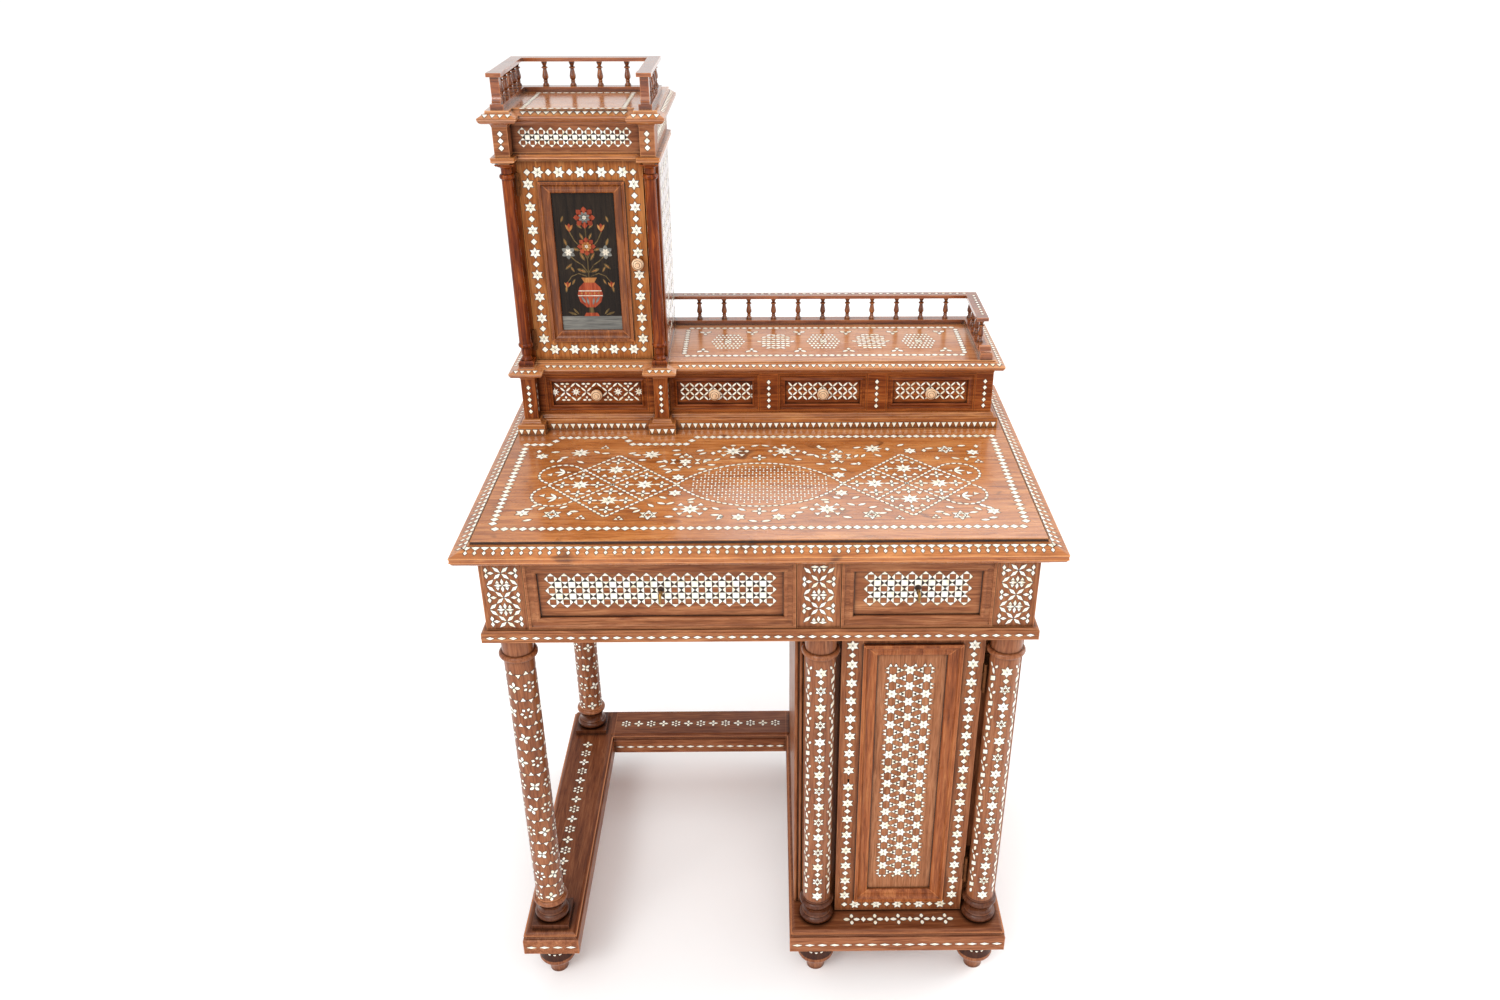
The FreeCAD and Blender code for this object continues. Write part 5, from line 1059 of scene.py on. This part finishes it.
def inlay_small_drawers():
    for i in range(1, 5):
        node = f"small_drawer_{i}"
        u, _, v = middle(node)
        face = Inlay(node, node).front(node, u + 20, v)
        if i == 1:
            pitch, rise, petal, u, v = 30.9, 14.3, lens(9.6, 2.8), u - 0.7, v + 1.2
            turn = degrees(atan2(rise, pitch / 2))
            arm = [outline for share in (0.27, 0.75)
                   for outline in moved(petal, pitch / 2 * share, rise * share, turn)]
            net = mirrored(arm + moved(lens(5.8, 2.9), 3.5, 12.6)) \
                + mirrored(moved(diamond(3.4, 5.0), 0, 8.6), "y")
            for k in (-1.5, -0.5, 0.5, 1.5):
                face.lay(net, u + pitch * k, v, line=FINE_LINE)
            for k in (-2, -1, 1, 2):
                face.lay(star(8, 7.0, 0.4), u + pitch * k, v, line=FINE_LINE)
        else:
            columns, pitch, shift = (8, 13.85, 4.5) if i == 2 else (7, 14.8, 0.0)
            cross = spokes(lens(8.9, 2.7), 4, 4.95, 43)
            pair = moved(cross, 0, 6.75) + moved(cross, 0, -6.75)
            for k in range(columns):
                face.lay(pair, u + shift + pitch * (k - (columns - 1) / 2), v + 1.0, line=FINE_LINE)


def shelf_medallion(face, u, v, scales):
    """A six-sided field: small diamonds round a flower, or a net of sloping leaves."""
    half_u, half_v, point = 26.5, 30.0, 9.5
    if scales:
        face.lay(flower(6, 6.5, 3.4), u, v)
    for k in range(-3, 4):
        dv = 9.6 * k
        room = half_u - point * abs(dv) / half_v
        for i in range(-5, 6):
            scale_u, leaf_u = 5.9 * (i + (0.5 if k % 2 else 0.0)), 7.2 * (i + 0.5)
            if scales and abs(scale_u) < room and hypot(scale_u, dv) > 7.5:
                face.lay(diamond(4.4, 7.4), u + scale_u, v + dv, line=FINE_LINE)
            elif not scales and abs(leaf_u) < room:
                face.lay(lens(8.6, 4.6), u + leaf_u, v + dv, 36 if (i + k) % 2 else -36, line=0.6)


def inlay_shelf():
    inlay = Inlay("shelf")
    face = inlay.top("case_top", 100, 180)
    long, step = lens(8.8, 7.2), 10.2
    left, right, front, rear, middle_v = -113.0, 302.0, 115.5, 239.5, 177.0
    for v in (front, rear):
        face.row(long, left, right, v, step)
    for u in (left, right):
        face.column(long, front + 6, rear - 6, u, step)
    first, pitch, fields = -49.9, 72.2, 5
    between = mirrored(moved(diamond(5.8, 8.6), 0, 34), "y") + mirrored(moved(lens(9.8, 5.6), 5.0, 43, 42))
    for i in range(fields + 1):
        u = first + pitch * i
        if i < fields:
            shelf_medallion(face, u, middle_v, i % 2 == 0)
        face.lay(between, u - pitch / 2, middle_v)
    low, high = box("shelf_gallery_rail")
    rail, piece, step = inlay.top("shelf_gallery_rail", 100, high.y - 6), diamond(6.4, 4.6), 11.0
    rail.row(piece, low.x + 12, high.x - 14, high.y - 6.5, step)
    rail.column(piece, low.y + 14, high.y - 14, high.x - 6.5, step)


def knob_rings():
    """Two dark turned lines round the front of each knob."""
    pieces, proud = 24, 0.08
    for body in ("tower_door", "small_drawer_1", "small_drawer_2", "small_drawer_3", "small_drawer_4"):
        inlay, node = Inlay(f"{body}_knob_rings", body), f"{body}_knob"
        low, high = box(node)
        x, _, z = middle(node)
        face = inlay.front(node, x, z)
        for share, width in ((0.36, 0.5), (0.72, 0.6)):
            radius = (high.x - low.x) / 2 * share
            face.depth = hit(node, (x + radius, -FAR, z), Y)[0].dot(face.normal) + proud
            length, at = arc_path((face.u, face.v), radius, 0, 360)
            for i in range(pieces):
                face.dark(rectangle(length / pieces * 1.08, width), *at(length * i / pieces))


# ---------------------------------------------------------------- tower


def inlay_tower_door():
    inlay = Inlay("tower_door", "tower_door")
    low, high = box("tower_door_frame")
    inner, outer = box("tower_door_moulding")
    face = inlay.front("tower_door_frame", low.x + 5, 1100)
    quirk_shade_lines(face, inner.x, outer.x, inner.z, outer.z, -0.7)
    left, right = (low.x + inner.x) / 2, (high.x + outer.x) / 2
    bottom, top, gaps_u, gaps_v, knob = 897.2, 1147.4, 10, 16, 8
    pieces = (diamond(8.7, 8.7), star(6, 8.3))
    for i in range(gaps_u + 1):
        for v in (bottom, top):
            face.lay(pieces[i % 2], left + (right - left) / gaps_u * i, v, 90)
    for i in range(1, gaps_v):
        for u in (left, right):
            if u == left or i != knob:
                face.lay(pieces[i % 2], u, bottom + (top - bottom) / gaps_v * i)


def inlay_tower():
    inlay = Inlay("tower")
    z, field_z, columns, rows = 1193, 1194.0, 12, 2
    ring_field(inlay.front("tower_frieze", -240, z), -318.7, -168.0, columns, rows, field_z, 13.4)
    for x in PILASTERS:
        inlay.front("tower_frieze", x, z).column(diamond(7.4, 7.2), 1180.2, 1206.9, x, 8.9)
    for side in SIDES:
        left, right = sorted((side * 110.0, side * 270.0))
        ring_field(inlay.side("tower_frieze", side, 200, z), left, right, columns, rows, field_z, 13.0)
    wall = inlay.side("tower_walls", 1, 200, 1020)
    columns, rows, first_u, first_v, pitch_u, pitch_v = 5, 10, 132, 905, 30.0, 26.0
    for i in range(columns):
        for k in range(rows):
            motif = hollow_star(8.0) if (i + k) % 2 else star(6, 8.0)
            wall.lay(motif, first_u + pitch_u * i, first_v + pitch_v * k)
    low, high = box("tower_cornice")
    lip, node, pitch = 5.0, "tower_cornice", 10.5
    for x in PILASTERS:
        bevel_row(inlay, node, x, low.y + lip, x - 19.8, x + 19.8, 9.9)
    bevel_row(inlay, node, -241, low.y + 24 + lip, -312, -170, pitch)
    bevel_row(inlay, node, high.x - lip, 190, low.y + 34, high.y - 4, pitch, Y)
    top = inlay.top(node, -241, 150)
    left, right, front, rear, piece, pitch = -312.0, -170.0, 84.0, 216.0, lens(8.0, 6.4), 9.6
    for v in (front, rear):
        top.row(piece, left, right, v, pitch)
    for u in (left + 5, right - 5):
        top.column(piece, front + 6, rear - 6, u, pitch)


# ---------------------------------------------------------------- picture panel


def picture_panel():
    """A symmetrical vase of flowers in stained veneers, on a grey strip, let into the dark panel."""
    inlay = Inlay("picture", "tower_door")
    low, high = box("tower_door_panel")
    centre, foot, layers = middle("tower_door_panel"), low.z + 3.0, []
    face = inlay.front("tower_door_panel", centre.x, centre.z)

    def lay(tone, motif, u=0.0, v=0.0, turn=0.0):
        """Lays a motif and its mirror image, each layer a little prouder than the last."""
        layers.append(tone)
        motif = moved(motif, u, v, turn)
        for outline in moved(mirrored(motif, "x") if u else motif, centre.x, foot):
            face.prism(f"veneer_{tone}", outline, 0.06 + 0.004 * len(layers))

    def stem(width, *points):
        """A curved stem as short overlapping strips through its points."""
        for (x0, z0), (x1, z1) in zip(points, points[1:]):
            length, turn = dist((x0, z0), (x1, z1)), degrees(atan2(z1 - z0, x1 - x0))
            lay("olive", rectangle(length + 1.2, width), (x0 + x1) / 2, (z0 + z1) / 2, turn)

    def bloom(u, v, petals, radius, outer, inner):
        lay(outer, flower(petals, radius, radius * 0.62), u, v)
        lay(inner, flower(petals, radius * 0.55, radius * 0.3, 90 + 180 / petals), u, v)
        lay("white", spokes(diamond(radius * 0.2, radius * 0.12), 6, radius * 0.12), u, v)

    lay("grey", rectangle(high.x - low.x - 6.4, 20), 0, 10)
    stem(1.8, (0, 76), (0, 150))
    stem(1.5, (1, 84), (8, 94), (17, 100), (25, 108))
    stem(1.5, (1, 104), (7, 118), (16, 128), (22, 140))
    stem(1.3, (3, 78), (14, 82), (24, 78), (30, 70))
    for u, v, turn, length in ((9, 86, 20, 15), (7, 106, 60, 14), (15, 116, 15, 13), (27, 92, -40, 13),
                               (6, 134, 65, 12), (29, 126, 70, 12), (8, 148, 40, 10), (22, 88, 60, 10),
                               (33, 60, -80, 12), (22, 70, -60, 10), (31, 158, 110, 10)):
        lay("olive", lens(length, length * 0.36), u, v, turn)
        lay("tan", lens(length * 0.7, length * 0.08), u, v, turn)
    for u, v, radius in ((22, 146, 8), (31, 66, 6)):
        lay("red", lens(radius * 1.5, radius * 0.8), u, v, 90)
        for way in SIDES:
            lay("tan", lens(radius * 1.3, radius * 0.42), u - 2.6 * way, v, 90 + 28 * way)
    bloom(0, 120, 8, 13, "red", "tan")
    bloom(0, 160, 8, 15, "red", "grey")
    bloom(26, 112, 6, 10, "grey", "white")
    lay("red", [[(-11, 20), (11, 20), (8, 25), (-8, 25)]])
    lay("olive", [[(-4, 25), (4, 25), (3, 33), (-3, 33)]])
    lay("red", [[(-6, 33), (6, 33), (15, 41), (18, 52), (15, 62), (8, 69), (-8, 69), (-15, 62), (-18, 52),
                 (-15, 41)]])
    lay("tan", [[(-7, 69), (7, 69), (11, 76), (-11, 76)]])
    lay("white", rectangle(35, 1.2), 0, 50)
    lay("white", rectangle(32.5, 1.2), 0, 57)
    for u in (-12, -6, 0, 6, 12):
        lay("tan", diamond(3.4, 4.4), abs(u), 53.5)
    for u, turn in ((4, 80), (10, 60)):
        lay("grey", lens(12, 3.2), u, 41 + u * 0.3, turn)
    lay("olive", lens(14, 3.4), 27, 24, 20)
    lay("olive", lens(12, 3.0), 22, 27, 50)


make_materials()
finish_nodes()
build_stage()
inlay_top()
inlay_top_edges()
inlay_frieze_drawers()
inlay_frieze_stiles()
inlay_fascias()
inlay_plinth_tops()
inlay_left_columns()
inlay_pedestal_columns()
inlay_pedestal_door()
inlay_case()
inlay_small_drawers()
inlay_shelf()
inlay_tower_door()
inlay_tower()
picture_panel()
knob_rings()
for made in INLAYS:
    made.finish()
